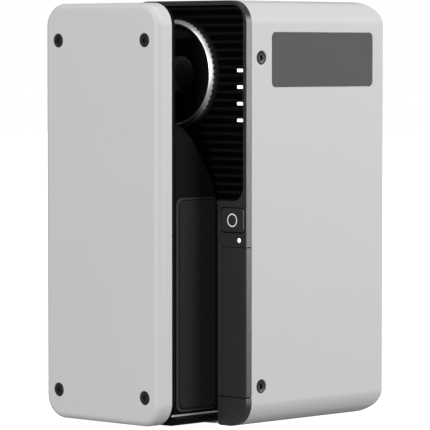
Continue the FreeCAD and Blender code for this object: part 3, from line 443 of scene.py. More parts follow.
def grip_rubber(name):
    """Soft-touch pad with a tight pebble grain."""
    look = Finish(name, Specular_IOR_Level=0.12)
    pebble = look.node("ShaderNodeTexVoronoi", "Distance", Vector=look.place, Scale=1 / (0.55 * MM))
    fine = look.noise(0.2 * MM)
    base = tuple(colours().pad)
    look.colour(pebble * 0.6 + fine * 0.4, tinted(base, 0.8), tinted(base, 1.25))
    look.rough(0.6 + (pebble - 0.4) * 0.25)
    look.bump(pebble * -1.0 + fine * 0.2, 0.02 * MM)
    return look.material


def lip_highlight_white(name):
    """Polished edge of the white tray, painted whiter than the shell as a painted highlight."""
    return grained(name, (0.9, 0.9, 0.9), 0.25, 0.3 * MM, 0.003 * MM, spread=0.03, Coat_Weight=0.5)


def trim_grey(name):
    return grained(name, tuple(colours().trim), 0.5, 0.25 * MM, 0.004 * MM, Specular_IOR_Level=0.15)


def ring_metal(name):
    """Turned metal: fine circles about the lens axis over a bright base."""
    low, high = corners("focus_ring")
    middle = (low + high) / 2
    look = Finish(name, Metallic=1.0)
    centred = look.node("ShaderNodeMapping", "Vector", Vector=look.place, Location=-middle)
    parts = look.tree.nodes.new("ShaderNodeSeparateXYZ")
    look.join(centred, parts.inputs[0])
    across, up = Wire(look.tree, parts.outputs[0]), Wire(look.tree, parts.outputs[2])
    radius = look.node("ShaderNodeMath", 0, {"operation": "SQRT"}, Value=across * across + up * up)
    turned = look.node("ShaderNodeTexNoise", "Fac", {"noise_dimensions": "1D"}, W=radius,
                       Scale=1 / (0.12 * MM), Detail=2.0)
    worn = look.noise(2.5 * MM)
    base = tuple(colours().metal)
    look.colour(turned * 0.6 + worn * 0.4, tinted(base, 0.8), tinted(base, 1.15))
    look.rough(0.36 + (turned - 0.5) * 0.15 + (worn - 0.5) * 0.06)
    look.bump(turned, 0.004 * MM)
    return look.material


def lens_glass(name):
    """Coated front element: clear, with a faint film that thickens in clouds."""
    look = Finish(name, Alpha=0.18, IOR=1.6, Coat_Weight=0.6, Coat_Roughness=0.02)
    film = look.noise(9 * MM)
    look.colour(film, (0.004, 0.004, 0.006), (0.016, 0.014, 0.02))
    look.rough(0.03 + film * 0.03)
    return look.material


def pupil_glass(name):
    look = Finish(name, Coat_Weight=0.4, Coat_Roughness=0.05)
    film = look.noise(4 * MM)
    look.colour(film, (0.05, 0.05, 0.052), (0.075, 0.075, 0.078))
    look.rough(0.25 + film * 0.1)
    return look.material


def light_white(name):
    """Lit light guide: nearly even, slightly weaker in patches."""
    look = Finish(name, Base_Color=(0.9, 0.9, 0.9, 1), Roughness=0.3, Emission_Strength=0.85)
    patch = look.noise(1.5 * MM)
    mix = look.tree.nodes.new("ShaderNodeMix")
    mix.data_type = "RGBA"
    look.join(patch, mix.inputs[0])
    mix.inputs[6].default_value = (0.85, 0.87, 0.9, 1)
    mix.inputs[7].default_value = (1, 1, 1, 1)
    look.tree.links.new(mix.outputs[2], look.shader.inputs["Emission Color"])
    return look.material


def black_steel(name):
    return grained(name, (0.03, 0.03, 0.03), 0.4, 0.15 * MM, 0.004 * MM, spread=0.3, Metallic=0.5)


def bright_steel(name):
    return grained(name, (0.5, 0.5, 0.5), 0.3, 0.2 * MM, 0.004 * MM, Metallic=1.0)


def bare_aluminium(name):
    look = Finish(name, Metallic=1.0)
    drawn = look.noise(0.25 * MM, stretch=(1, 1, 0.03))
    look.colour(drawn, (0.5, 0.5, 0.51), (0.68, 0.68, 0.69))
    look.rough(0.32 + (drawn - 0.5) * 0.2)
    look.bump(drawn, 0.006 * MM)
    return look.material


def contact_brass(name):
    return grained(name, (0.75, 0.55, 0.2), 0.28, 0.2 * MM, 0.003 * MM, Metallic=1.0)


def board_green(name):
    """Circuit board: copper tracks as thin level and upright lines under green mask."""
    look = Finish(name, Coat_Weight=0.3, Coat_Roughness=0.2)
    tracks = look.node("ShaderNodeTexBrick", "Fac", Vector=look.place, Scale=1 / (3 * MM))
    blotch = look.noise(1.2 * MM)
    look.colour(tracks * 0.7 + blotch * 0.3, (0.004, 0.05, 0.018), (0.03, 0.16, 0.06))
    look.rough(0.4 + (blotch - 0.5) * 0.1)
    look.bump(tracks, 0.03 * MM)
    return look.material


def chip_black(name):
    return grained(name, (0.015, 0.015, 0.016), 0.5, 0.15 * MM, 0.006 * MM, spread=0.3)


def inner_plastic(name):
    return grained(name, (0.02, 0.02, 0.021), 0.5, 0.3 * MM, 0.01 * MM, spread=0.2)


def battery_wrap(name):
    """Shrink-wrapped cells: thin film with faint lengthwise creases."""
    look = Finish(name, Coat_Weight=0.4, Coat_Roughness=0.15)
    crease = look.noise(1.6 * MM, stretch=(1, 0.12, 1))
    look.colour(crease, (0.03, 0.03, 0.036), (0.06, 0.06, 0.07))
    look.rough(0.35 + (crease - 0.5) * 0.2)
    look.bump(crease, 0.05 * MM)
    return look.material


def key_icon(name):
    """Dimly lit ring of the power key."""
    look = Finish(name, Roughness=0.3, Emission_Color=(1, 1, 1, 1), Emission_Strength=0.25)
    patch = look.noise(1.5 * MM)
    look.colour(patch, (0.5, 0.5, 0.5), (0.6, 0.6, 0.6))
    return look.material


MAKERS = {make.__name__: make for make in (
    white_shell, window_grey, bezel_dark, face_black, grip_black, grip_rubber, lip_highlight_white, trim_grey,
    ring_metal,
    lens_glass, pupil_glass, light_white, key_icon, black_steel, bright_steel, bare_aluminium,
    contact_brass, board_green, chip_black, inner_plastic, battery_wrap)}
made = {}


def material_of(name):
    """The finish's material, made the first time it is asked for."""
    if name not in made:
        made[name] = MAKERS[name](f"{name}_look")
    return made[name]


# ---------------------------------------------------------------- pieces

def head_places(node, head_radius):
    """Centre of the box of screws on each side: (near, far) corners taken in by a head."""
    low, high = corners(node)
    inset = Vector((head_radius,) * 3)
    return low + inset, high - inset


class SCANNER_OT_cover(bpy.types.Operator):
    """White dished front cover with its dark backplate"""
    bl_idname = "scanner.cover"
    bl_label = "Front cover"

    def execute(self, context):
        s = context.scene.scanner_sizes
        low, high = corners("front_cover")
        cover = rounded_slab("cover_shell", low, high, s.corner_radius, segments=24)
        round_edges(cover, s.cover_edge, 10, lying_at(y=low.y))
        wall = Vector((s.wall, s.wall, s.wall))
        hollow = rounded_slab("hollow", low + wall, high - wall + Y_AXIS * (s.wall + PAST),
                              s.corner_radius - s.wall, segments=24)
        boolean(cover, hollow)
        near, far = head_places("cover_screws", s.head_radius)
        for x in (near.x, far.x):
            for z in (near.z, far.z):
                bore(cover, (x, low.y, z), Y_AXIS, s.head_radius + s.seam, s.wall + PAST)
        finish(smooth(cover), "white_shell", nodes=["front_cover"])

        low, high = corners("front_backplate")
        plate = rounded_slab("cover_backplate", low, high, s.corner_radius - s.edge_break, segments=24)
        finish(soften(plate, s.edge_break), "grip_black", nodes=["front_backplate"])
        return {"FINISHED"}


class SCANNER_OT_tower(bpy.types.Operator):
    """White tower shell with its window recess, screw holes, vents, port and tripod hole"""
    bl_idname = "scanner.tower"
    bl_label = "Tower shell"

    def form(self, name, low, high, radius):
        """Block with round corners seen from the front and at the back's top and bottom."""
        block = rounded_slab(name, low, high, radius, segments=24)
        side = slab("side_form", low - (X_AXIS + Y_AXIS) * PAST, high + X_AXIS * PAST)
        round_edges(side, radius, 24, along(X_AXIS, y=high.y))
        return boolean(block, side, "INTERSECT")

    def execute(self, context):
        s = context.scene.scanner_sizes
        low, high = corners("rear_shell")
        shell = self.form("tower_shell", low, high, s.corner_radius)
        wall = Vector((s.wall, s.wall, s.wall))
        hollow = self.form("hollow", low + wall - Y_AXIS * (s.wall + PAST), high - wall,
                           s.corner_radius - s.wall)
        boolean(shell, hollow)
        gap = Vector((s.seam, s.seam, s.seam))
        window_low, window_high = corners("side_window")
        recess = rounded_slab("recess", window_low - gap, window_high + gap + X_AXIS * PAST,
                              s.window_radius + s.seam, X_AXIS)
        boolean(shell, recess)
        near, far = head_places("shell_screws", s.head_radius)
        for z in (near.z, far.z):
            bore(shell, (high.x, near.y, z), -X_AXIS, s.head_radius + s.seam, s.wall + MM)
            bore(shell, (low.x, near.y, z), X_AXIS, s.head_radius + s.seam, s.wall + MM)
        boolean(shell, self.vents(high.y))
        port_low, port_high = corners("usb_socket")
        half_height = (port_high.z - port_low.z) / 2
        boolean(shell, rounded_slab("port", port_low - gap, port_high + gap + Y_AXIS * PAST,
                                    half_height, Y_AXIS, 10))
        insert_low, insert_high = corners("tripod_insert")
        middle = (insert_low + insert_high) / 2
        bore(shell, (middle.x, middle.y, low.z), Z_AXIS, TRIPOD_RADIUS + s.seam, s.wall + MM)
        finish(smooth(shell), "white_shell", nodes=["rear_shell"])
        return {"FINISHED"}

    def vents(self, back):
        """Row of level slots in the back wall, behind the fan."""
        fan_low, fan_high = corners("fan_housing")
        middle = (fan_low + fan_high) / 2
        first = middle.z - (VENT_COUNT - 1) / 2 * VENT_PITCH
        half = Vector((VENT_LENGTH / 2, PAST, VENT_HEIGHT / 2))
        centre = Vector((middle.x, back, first))
        slots = rounded_slab("vents", centre - half, centre + half, VENT_HEIGHT / 2.05, Y_AXIS, 6)
        row = slots.modifiers.new("Row", "ARRAY")
        row.count = VENT_COUNT
        row.use_relative_offset = False
        row.use_constant_offset = True
        row.constant_offset_displace = (0, 0, VENT_PITCH)
        bpy.ops.object.modifier_apply(modifier=row.name)
        return slots


class SCANNER_OT_window(bpy.types.Operator):
    """Grey panel let into the right side of the tower"""
    bl_idname = "scanner.window"
    bl_label = "Side window"

    def execute(self, context):
        s = context.scene.scanner_sizes
        low, high = corners("side_window")
        line = Vector((0, s.seam, s.seam))
        window = rounded_slab("window_panel", low + line, high - line, s.window_radius - s.seam, X_AXIS, 14)
        finish(soften(window, s.seam), "window_grey", nodes=["side_window"])
        return {"FINISHED"}


class SCANNER_OT_screws(bpy.types.Operator):
    """Black socket screws of the cover and of the tower"""
    bl_idname = "scanner.screws"
    bl_label = "Socket screws"

    def screw(self, name, centre, axis):
        s = bpy.context.scene.scanner_sizes
        radius, height, edge = s.head_radius, s.head_height, s.edge_break
        dish = 0.25 * MM
        outline = [(0, dish), (SOCKET_RADIUS + dish, dish), (radius - edge, 0), (radius, edge),
                   (radius, height), (SHANK_RADIUS, height), (SHANK_RADIUS, height + 3 * MM),
                   (0, height + 3 * MM)]
        head = lathe(name, outline, centre, axis, 48)
        bpy.ops.object.select_all(action="DESELECT")
        bpy.ops.mesh.primitive_cylinder_add(vertices=6, radius=SOCKET_RADIUS, depth=2.4 * MM,
                                            location=centre, rotation=Z_AXIS.rotation_difference(axis)
                                            .to_euler())
        return smooth(boolean(head, named("socket")))

    def execute(self, context):
        s = context.scene.scanner_sizes
        near, far = head_places("cover_screws", s.head_radius)
        front = corners("cover_screws")[0].y
        places = [(x, z) for x in (near.x, far.x) for z in (near.z, far.z)]
        for number, (x, z) in enumerate(places, start=1):
            head = self.screw(f"cover_screw_{number}", Vector((x, front, z)), Y_AXIS)
            finish(head, "black_steel", nodes=["cover_screws"])
        near, far = head_places("shell_screws", s.head_radius)
        low, high = corners("shell_screws")
        sides = (("right", high.x, -X_AXIS), ("left", low.x, X_AXIS))
        for side, x, axis in sides:
            for level, z in (("low", near.z), ("high", far.z)):
                head = self.screw(f"shell_screw_{side}_{level}", Vector((x, near.y, z)), axis)
                finish(head, "black_steel", nodes=["shell_screws"])
        return {"FINISHED"}


class SCANNER_OT_bezel(bpy.types.Operator):
    """Dark frame round the ribbed face with the column that holds the key and the battery"""
    bl_idname = "scanner.bezel"
    bl_label = "Bezel and foot"

    def execute(self, context):
        s = context.scene.scanner_sizes
        low, high = corners("front_bezel")
        tower_low = corners("rear_shell")[0]
        face_low, face_high = corners("ribbed_face")
        foot_low, foot_high = corners("foot_cap")
        door_low, door_high = corners("battery_door")
        gap = Vector((s.seam, s.seam, s.seam))

        bezel = rounded_slab("bezel_frame", (low.x, low.y, tower_low.z), (high.x, tower_low.y, high.z),
                             s.corner_radius, segments=24)
        inset = s.wall + s.seam
        lip = rounded_slab("lip", (low.x + inset, low.y + s.wall, tower_low.z + inset),
                           (high.x - inset, high.y, high.z - inset), s.corner_radius - inset)
        boolean(bezel, lip, "UNION")
        opening = rounded_slab("opening", face_low - gap - Y_AXIS * PAST, face_high + gap, s.rim_radius,
                               segments=16)
        boolean(bezel, opening)
        ledge = Vector((3 * MM, 0, 3 * MM))
        boolean(bezel, rounded_slab("behind", face_low + ledge, face_high - ledge + Y_AXIS * 2 * PAST,
                                    s.rim_radius - ledge.x))
        below = face_low.z - s.seam - RIM_WIDTH
        far = Vector((PAST, PAST, PAST))
        boolean(bezel, slab("left_cut", low - far - Z_AXIS * PAST * 4,
                            (foot_low.x, high.y + PAST, below)))
        boolean(bezel, slab("foot_cut", low - far - Z_AXIS * PAST * 4,
                            (high.x + PAST, high.y + PAST, low.z)))
        boolean(bezel, slab("door_cut", (door_low.x - s.seam, low.y - PAST, low.z - PAST),
                            (high.x + PAST, tower_low.y, door_high.z + s.seam)))
        clear = Vector((CLEARANCE, 0, CLEARANCE))
        pack_low, pack_high = corners("battery_pack")
        boolean(bezel, rounded_slab("battery_hole", pack_low - clear - Y_AXIS * PAST,
                                    (pack_high.x + CLEARANCE, high.y + PAST, pack_high.z + CLEARANCE),
                                    s.key_radius))
        key_low, key_high = corners("power_button")
        well_floor = low.y + KEY_THICKNESS + KEY_TRAVEL
        boolean(bezel, rounded_slab("key_well", key_low - clear - Y_AXIS * PAST,
                                    (key_high.x + CLEARANCE, well_floor, key_high.z + CLEARANCE),
                                    s.key_radius))
        middle, half_stem = (key_low + key_high) / 2, STEM_SIZE / 2 + CLEARANCE
        boolean(bezel, slab("stem_hole", (middle.x - half_stem, low.y, middle.z - half_stem),
                            (middle.x + half_stem, high.y + PAST, middle.z + half_stem)))
        light_low, light_high = corners("status_light")
        light = (light_low + light_high) / 2
        bore(bezel, (light.x, low.y, light.z), Y_AXIS, (light_high.x - light_low.x) / 2 + s.seam / 2,
             high.y - low.y + MM, chamfer=0.15 * MM)
        finish(soften(bezel, s.edge_break, 3), "bezel_dark", nodes=["front_bezel"])

        foot = slab("foot_cap_shape", foot_low, (foot_high.x, tower_low.y - s.seam / 3, foot_high.z))
        round_edges(foot, s.corner_radius, 24, along(Y_AXIS, x=foot_high.x, z=foot_low.z))
        round_edges(foot, s.key_radius, 8, along(Y_AXIS, x=foot_low.x, z=foot_low.z))
        heel = slab("heel", (foot_low.x, tower_low.y - MM, foot_low.z + inset + s.seam),
                    (foot_high.x - s.corner_radius, foot_high.y, foot_high.z))
        boolean(foot, heel, "UNION")
        finish(soften(foot, s.edge_break, 3), "bezel_dark", nodes=["foot_cap"])
        return {"FINISHED"}


class SCANNER_OT_battery(bpy.types.Operator):
    """Battery door that wraps the column's side, with its wrapped battery"""
    bl_idname = "scanner.battery"
    bl_label = "Battery and door"

    def execute(self, context):
        s = context.scene.scanner_sizes
        low, high = corners("battery_door")
        door = slab("battery_door_shape", low, high)
        round_edges(door, s.key_radius, 8, along(Y_AXIS, x=low.x, z=low.z))
        finish(soften(door, s.edge_break, 3), "bezel_dark", "battery", ["battery_door"])
        low, high = corners("battery_pack")
        pack = rounded_slab("battery_pack_shape", low, high, s.key_radius)
        finish(soften(pack, s.edge_break), "battery_wrap", "battery", ["battery_pack"])
        return {"FINISHED"}


class SCANNER_OT_face(bpy.types.Operator):
    """Black face with round-edged level ribs, a plain land round the lens and light slots"""
    bl_idname = "scanner.face"
    bl_label = "Ribbed face"

    def execute(self, context):
        s = context.scene.scanner_sizes
        low, high = corners("ribbed_face")
        lens, radius = lens_axis()
        groove_floor = low.y + GROOVE_DEPTH
        face = rounded_slab("face_ribs", (low.x, groove_floor, low.z), high, s.rim_radius, segments=16)
        ribs = self.ribs(low, high, groove_floor)
        boolean(ribs, rounded_slab("outline", low - Y_AXIS * PAST, high, s.rim_radius, segments=16),
                "INTERSECT")
        land = radius + LENS_LAND
        clearing = lathe("clearing", [(0, -PAST), (land, -PAST), (land, PAST), (0, PAST)],
                         (lens.x, groove_floor, lens.z))
        boolean(ribs, clearing)
        disc = lathe("land", [(0, 0), (land - s.edge_break, 0), (land, s.edge_break),
                              (land, GROOVE_DEPTH), (0, GROOVE_DEPTH)], (lens.x, low.y, lens.z))
        face = joined([face, ribs, disc], "face_ribs")
        hole = radius + CLEARANCE
        boolean_self(face, lathe("hole", [(0, -PAST), (hole, -PAST), (hole, PAST), (0, PAST)],
                                 (lens.x, groove_floor, lens.z)))
        for guide in light_places():
            half = Vector((LIGHT_SIZE[0] / 2, PAST, LIGHT_SIZE[1] / 2)) + Vector((s.seam, 0, s.seam)) / 2
            boolean_self(face, slab("slot", guide - half, guide + half))
        finish(smooth(face), "face_black", nodes=["ribbed_face"])
        return {"FINISHED"}

    def ribs(self, low, high, groove_floor):
        s = bpy.context.scene.scanner_sizes
        half_rib = (s.rib_pitch - s.groove_height) / 2
        first = low.z - s.seam
        ribs = slab("ribs", (low.x - MM, low.y, first - half_rib),
                    (high.x + MM, groove_floor + s.seam, first + half_rib))
        round_edges(ribs, half_rib * 0.7, 4, along(X_AXIS, y=low.y))
        row = ribs.modifiers.new("Row", "ARRAY")
        row.count = int((high.z - low.z) / s.rib_pitch) + 2
        row.use_relative_offset = False
        row.use_constant_offset = True
        row.constant_offset_displace = (0, 0, s.rib_pitch)
        bpy.ops.object.modifier_apply(modifier=row.name)
        return ribs


def boolean_self(piece, tool):
    """Cut a piece that is made of touching solids."""
    only(piece)
    change = piece.modifiers.new("Cut", "BOOLEAN")
    change.operation = "DIFFERENCE"
    change.object = tool
    change.solver = "EXACT"
    change.use_self = True
    bpy.ops.object.modifier_apply(modifier=change.name)
    bpy.data.objects.remove(tool)
    return piece


def lens_axis():
    """A point on the lens axis and the bright ring's outer radius."""
    low, high = corners("focus_ring")
    return (low + high) / 2, (high.x - low.x) / 2


def light_places():
    """Centres of the four light guides, from the lowest up."""
    low, high = corners("face_lights")
    middle = (low + high) / 2
    first, last = low.z + LIGHT_SIZE[1] / 2, high.z - LIGHT_SIZE[1] / 2
    return [Vector((middle.x, middle.y, first + (last - first) * step / 3)) for step in range(4)]


class SCANNER_OT_lights(bpy.types.Operator):
    """Four light guides in the face and the status light"""
    bl_idname = "scanner.lights"
    bl_label = "Lights"

    def execute(self, context):
        s = context.scene.scanner_sizes
        low, high = corners("face_lights")
        for number, centre in enumerate(light_places(), start=1):
            half = Vector((LIGHT_SIZE[0] / 2, (high.y - low.y) / 2, LIGHT_SIZE[1] / 2))
            guide = rounded_slab(f"light_guide_{number}", centre - half, centre + half, s.edge_break)
            finish(soften(guide, s.seam / 2), "light_white", nodes=["face_lights"])
        low, high = corners("status_light")
        middle, radius = (low + high) / 2, (high.x - low.x) / 2
        dome = [(0, -s.seam), (radius * 0.5, -s.seam * 0.8), (radius * 0.8, -s.seam * 0.3),
                (radius, s.seam), (radius, high.y - low.y), (0, high.y - low.y)]
        light = lathe("status_light_dome", dome, (middle.x, low.y, middle.z), Y_AXIS, 32)
        finish(smooth(light), "light_white", nodes=["status_light"])
        return {"FINISHED"}


class SCANNER_OT_lens(bpy.types.Operator):
    """Bright scalloped ring, black stepped barrel, domed glass and inner element"""
    bl_idname = "scanner.lens"
    bl_label = "Lens"

    def execute(self, context):
        self.ring(context.scene.scanner_sizes)
        self.barrel(context.scene.scanner_sizes)
        self.glass()
        return {"FINISHED"}

    def ring(self, s):
        low, high = corners("focus_ring")
        lens, radius = lens_axis()
        depth = high.y - low.y
        bore_radius = radius - s.ring_width
        outline = [(bore_radius, 0.5 * MM), (bore_radius + 0.35 * MM, 0.05 * MM),
                   (bore_radius + 0.6 * MM, 0), (bore_radius + 0.9 * MM, 0.12 * MM),
                   (radius - 0.35 * MM, 1.0 * MM), (radius, 1.5 * MM), (radius, depth),
                   (bore_radius, depth)]
        ring = lathe("focus_ring_shape", outline, (lens.x, low.y, lens.z), Y_AXIS, 180)
        bpy.ops.object.select_all(action="DESELECT")
        notch_radius = 1.1 * MM
        bpy.ops.mesh.primitive_cylinder_add(
            vertices=20, radius=notch_radius, depth=depth * 3,
            location=(lens.x + radius + notch_radius - 0.28 * MM, low.y, lens.z),
            rotation=(math.radians(90), 0, 0))
        notch = named("notch")
        pivot = (lens.x, low.y, lens.z)
        cutters = [notch]
        for step in range(1, s.scallops):
            cutter = copy_of(notch, f"notch_{step}")
            edit(cutter)
            bpy.ops.mesh.select_all(action="SELECT")
            bpy.ops.transform.rotate(value=step * 2 * math.pi / s.scallops, orient_axis="Y",
                                     center_override=pivot)
            done()
            cutters.append(cutter)
        boolean(ring, joined(cutters, "notches"))
        finish(smooth(ring, 28), "ring_metal", "ring", ["focus_ring"])

    def barrel(self, s):
        low, high = corners("lens_barrel")
        lens, radius = lens_axis()
        glass_low, glass_high = corners("front_glass")
        pupil_low, pupil_high = corners("pupil_lens")
        chassis_front = corners("chassis")[0].y
        nose = radius - s.ring_width - 0.1 * MM
        seat = (glass_high.x - glass_low.x) / 2 + s.seam
        pupil = (pupil_high.x - pupil_low.x) / 2 + 0.05 * MM
        glass_back = glass_high.y - low.y
        floor = glass_back + 2.8 * MM
        steps = 5
        cone = []
        for step in range(steps):
            share, following = step / steps, (step + 1) / steps
            inner = seat - MM - (seat - MM - pupil - MM) * share
            ledge = glass_back + (floor - glass_back) * following
            cone += [(inner, ledge - (floor - glass_back) / steps), (inner - 0.25 * MM, ledge)]
        body = [(pupil, floor), (pupil, high.y - low.y), (REAR_TUBE, high.y - low.y),
                (REAR_TUBE, chassis_front - low.y), (radius - 0.5 * MM, chassis_front - low.y),
                (radius - 0.5 * MM, 4.8 * MM), (nose, 4.8 * MM), (nose, 0.3 * MM), (nose - 0.3 * MM, 0),
                (seat + 0.2 * MM, 0), (seat, 0.2 * MM), (seat, glass_back)]
        barrel = lathe("barrel_shape", cone + body, (lens.x, low.y, lens.z), Y_AXIS, 128)
        # The barrel takes the face's material, whose painted shade makes it darker with depth.
        finish(smooth(barrel), "face_black", nodes=["lens_barrel"])

    def glass(self):
        for name, node, material in (("front_glass_dome", "front_glass", "lens_glass"),
                                     ("pupil_lens_dome", "pupil_lens", "pupil_glass")):
            low, high = corners(node)
            middle, radius = (low + high) / 2, (high.x - low.x) / 2
            rise = {"front_glass": GLASS_RISE, "pupil_lens": PUPIL_RISE}[node]
            sphere = (radius ** 2 + rise ** 2) / (2 * rise)
            half = math.asin(radius / sphere)
            count = 14
            bow = [(sphere * math.sin(half * step / count),
                    sphere * (1 - math.cos(half * step / count))) for step in range(count + 1)]
            depth = high.y - low.y
            dome = lathe(name, bow + [(radius, depth), (0, depth)], (middle.x, low.y, middle.z))
            finish(smooth(dome), material, nodes=[node])


class SCANNER_OT_grip(bpy.types.Operator):
    """Dark grip with its sloped top, side trims, soft pads and the tray below"""
    bl_idname = "scanner.grip"
    bl_label = "Grip"

    def execute(self, context):
        s = context.scene.scanner_sizes
        self.core(s)
        for side in ("left", "right"):
            self.pad(s, side)
        self.tray(s)
        return {"FINISHED"}

    def core(self, s):
        low, high = corners("grip_core")
        bezel_front = corners("front_bezel")[0].y
        tower_front = corners("rear_shell")[0].y
        shoulder, under_rim = bezel_front - CLEARANCE, corners("ribbed_face")[0].z - s.seam - RIM_WIDTH
        floor = corners("front_cover")[0].z
        core = rounded_slab("grip_body", (low.x, low.y, floor), (high.x, tower_front, high.z),
                            s.corner_radius, segments=16)
        waste = slab("foot_waste", (low.x - PAST, low.y - PAST, floor - PAST),
                     (high.x + PAST, tower_front + PAST, low.z))
        boolean(core, waste)
        keep = self.side_form("keep", low, high, shoulder, under_rim - CLEARANCE)
        boolean(core, keep, "INTERSECT")
        tongue = slab("tongue", (low.x + 2.2 * MM, tower_front - MM, s.corner_radius),
                      (high.x - MM, high.y, under_rim - CLEARANCE))
        boolean(core, tongue, "UNION")
        for side in ("left", "right"):
            trim_low, trim_high = corners(f"grip_trim_{side}")
            outward = X_AXIS * (PAST if side == "right" else -PAST)
            gap = Vector((0, s.seam, s.seam))
            start, end = trim_low - gap, trim_high + gap
            start, end = (start, end + outward) if side == "right" else (start + outward, end)
            boolean(core, rounded_slab("pad_waste", start, end, s.pad_radius, X_AXIS))
        finish(soften(core, 0.8 * MM, 4, 40), "grip_black", nodes=["grip_core"])

    def side_form(self, name, low, high, shoulder, step_height):
        """Side outline of the grip, a slope between a level top and the shoulder, made a solid."""
        outline = [(low.y, low.z), (low.y, high.z), (low.y + GRIP_FLAT, high.z),
                   (shoulder, SHOULDER_HEIGHT), (shoulder, step_height), (high.y, step_height),
                   (high.y, low.z)]
        bpy.ops.object.select_all(action="DESELECT")
        bpy.ops.mesh.primitive_circle_add(vertices=len(outline), radius=MM, fill_type="NGON")
        form = named(name)
        edit(form)
        mesh = bmesh.from_edit_mesh(form.data)
        mesh.verts.ensure_lookup_table()
        for vertex, (y, z) in zip(mesh.verts, outline):
            vertex.co = (low.x - PAST, y, z)
        bmesh.update_edit_mesh(form.data)
        bpy.ops.mesh.select_all(action="SELECT")
        width = high.x - low.x + 2 * PAST
        bpy.ops.mesh.extrude_region_move(TRANSFORM_OT_translate={"value": (width, 0, 0)})
        bpy.ops.mesh.select_all(action="SELECT")
        bpy.ops.mesh.normals_make_consistent(inside=False)
        done()
        return round_edges(form, SHOULDER_RADIUS, 10, along(X_AXIS, y=shoulder, z=SHOULDER_HEIGHT))

    def pad(self, s, side):
        low, high = corners(f"grip_trim_{side}")
        trim = rounded_slab(f"grip_trim_{side}_shape", low, high, s.pad_radius, X_AXIS)
        pad_low, pad_high = corners(f"grip_pad_{side}")
        gap = Vector((0, s.seam, s.seam))
        inner = rounded_slab("inner", pad_low - gap - X_AXIS * PAST, pad_high + gap + X_AXIS * PAST,
                             s.pad_radius - s.seam, X_AXIS)
        boolean(trim, inner)
        finish(soften(trim, s.seam * 2, 2), "trim_grey", nodes=[f"grip_trim_{side}"])
        pad = rounded_slab(f"grip_pad_{side}_shape", pad_low, pad_high, s.pad_radius - s.seam, X_AXIS)
        outer = pad_high.x if side == "right" else pad_low.x
        round_edges(pad, 0.9 * MM, 5, lying_at(x=outer))
        finish(smooth(pad), "grip_rubber", nodes=[f"grip_pad_{side}"])

    def tray(self, s):
        low, high = corners("bottom_tray")
        floor = corners("front_cover")[0].z
        split = high.z - TRAY_LIP
        width = corners("grip_core")
        # The tray is drawn as a whiter lip over a black sole: a painted highlight on the lip and painted
        # shade in the sole.
        for name, start, end, slot, look, radius in (
                # whiter lip: a painted highlight along the tray's edge
                ("tray_lip_painted_highlight", split, high.z, "white_shell", "lip_highlight_white", s.corner_radius),
                # black sole: painted shade on the tray's underside
                ("tray_sole_painted_shade", floor, split - s.seam, "grip_black", "face_black", s.pad_radius)):
            tray = rounded_slab(name, (width[0].x, low.y, floor), (width[1].x, high.y, floor + 4 * PAST),
                                radius, segments=20)
            for cut_low, cut_high in ((floor - PAST, start), (end, floor + 5 * PAST)):
                if cut_low < cut_high:
                    boolean(tray, slab("waste", (width[0].x - PAST, low.y - PAST, cut_low),
                                       (width[1].x + PAST, high.y + PAST, cut_high)))
            finish(soften(tray, s.seam), slot, nodes=["bottom_tray"], look=look)


class SCANNER_OT_key(bpy.types.Operator):
    """Power key with a crowned edge and its pale ring"""
    bl_idname = "scanner.key"
    bl_label = "Power key"

    def execute(self, context):
        s = context.scene.scanner_sizes
        low, high = corners("power_button")
        middle = (low + high) / 2
        back = low.y + KEY_THICKNESS
        key = rounded_slab("power_key", low, (high.x, back, high.z), s.key_radius)
        round_edges(key, 0.7 * MM, 4, lying_at(y=low.y))
        half = Vector((STEM_SIZE / 2, 0, STEM_SIZE / 2))
        stem = slab("stem", Vector((middle.x, back - MM, middle.z)) - half,
                    Vector((middle.x, high.y, middle.z)) + half)
        boolean(key, stem, "UNION")
        ring_low, ring_high = corners("button_ring")
        radius, line = (ring_high.x - ring_low.x) / 2, 0.5 * MM
        groove = [(radius - line - s.seam / 2, -MM), (radius + s.seam / 2, -MM),
                  (radius + s.seam / 2, 0.35 * MM), (radius - line - s.seam / 2, 0.35 * MM)]
        boolean(key, lathe("groove", groove, (middle.x, low.y, middle.z), Y_AXIS, 64))
        finish(smooth(key), "bezel_dark", "button", ["power_button"])
        icon = [(radius - line, 0.08 * MM), (radius - line * 0.5, 0), (radius, 0.08 * MM),
                (radius, 0.3 * MM), (radius - line, 0.3 * MM)]
        ring = lathe("key_ring", icon, (middle.x, low.y, middle.z), Y_AXIS, 64)
        finish(smooth(ring), "light_white", "button", ["button_ring"], look="key_icon")
        return {"FINISHED"}


class SCANNER_OT_inside(bpy.types.Operator):
    """Finishes of the inner parts that keep their own shapes"""
    bl_idname = "scanner.inside"
    bl_label = "Inner parts"

    def execute(self, context):
        for name, nodes in INNER_FINISHES.items():
            for node in nodes:
                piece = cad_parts[node]
                material = material_of(name)
                if not piece.material_slots:
                    piece.data.materials.append(material)
                for slot in piece.material_slots:
                    slot.material = material
        return {"FINISHED"}


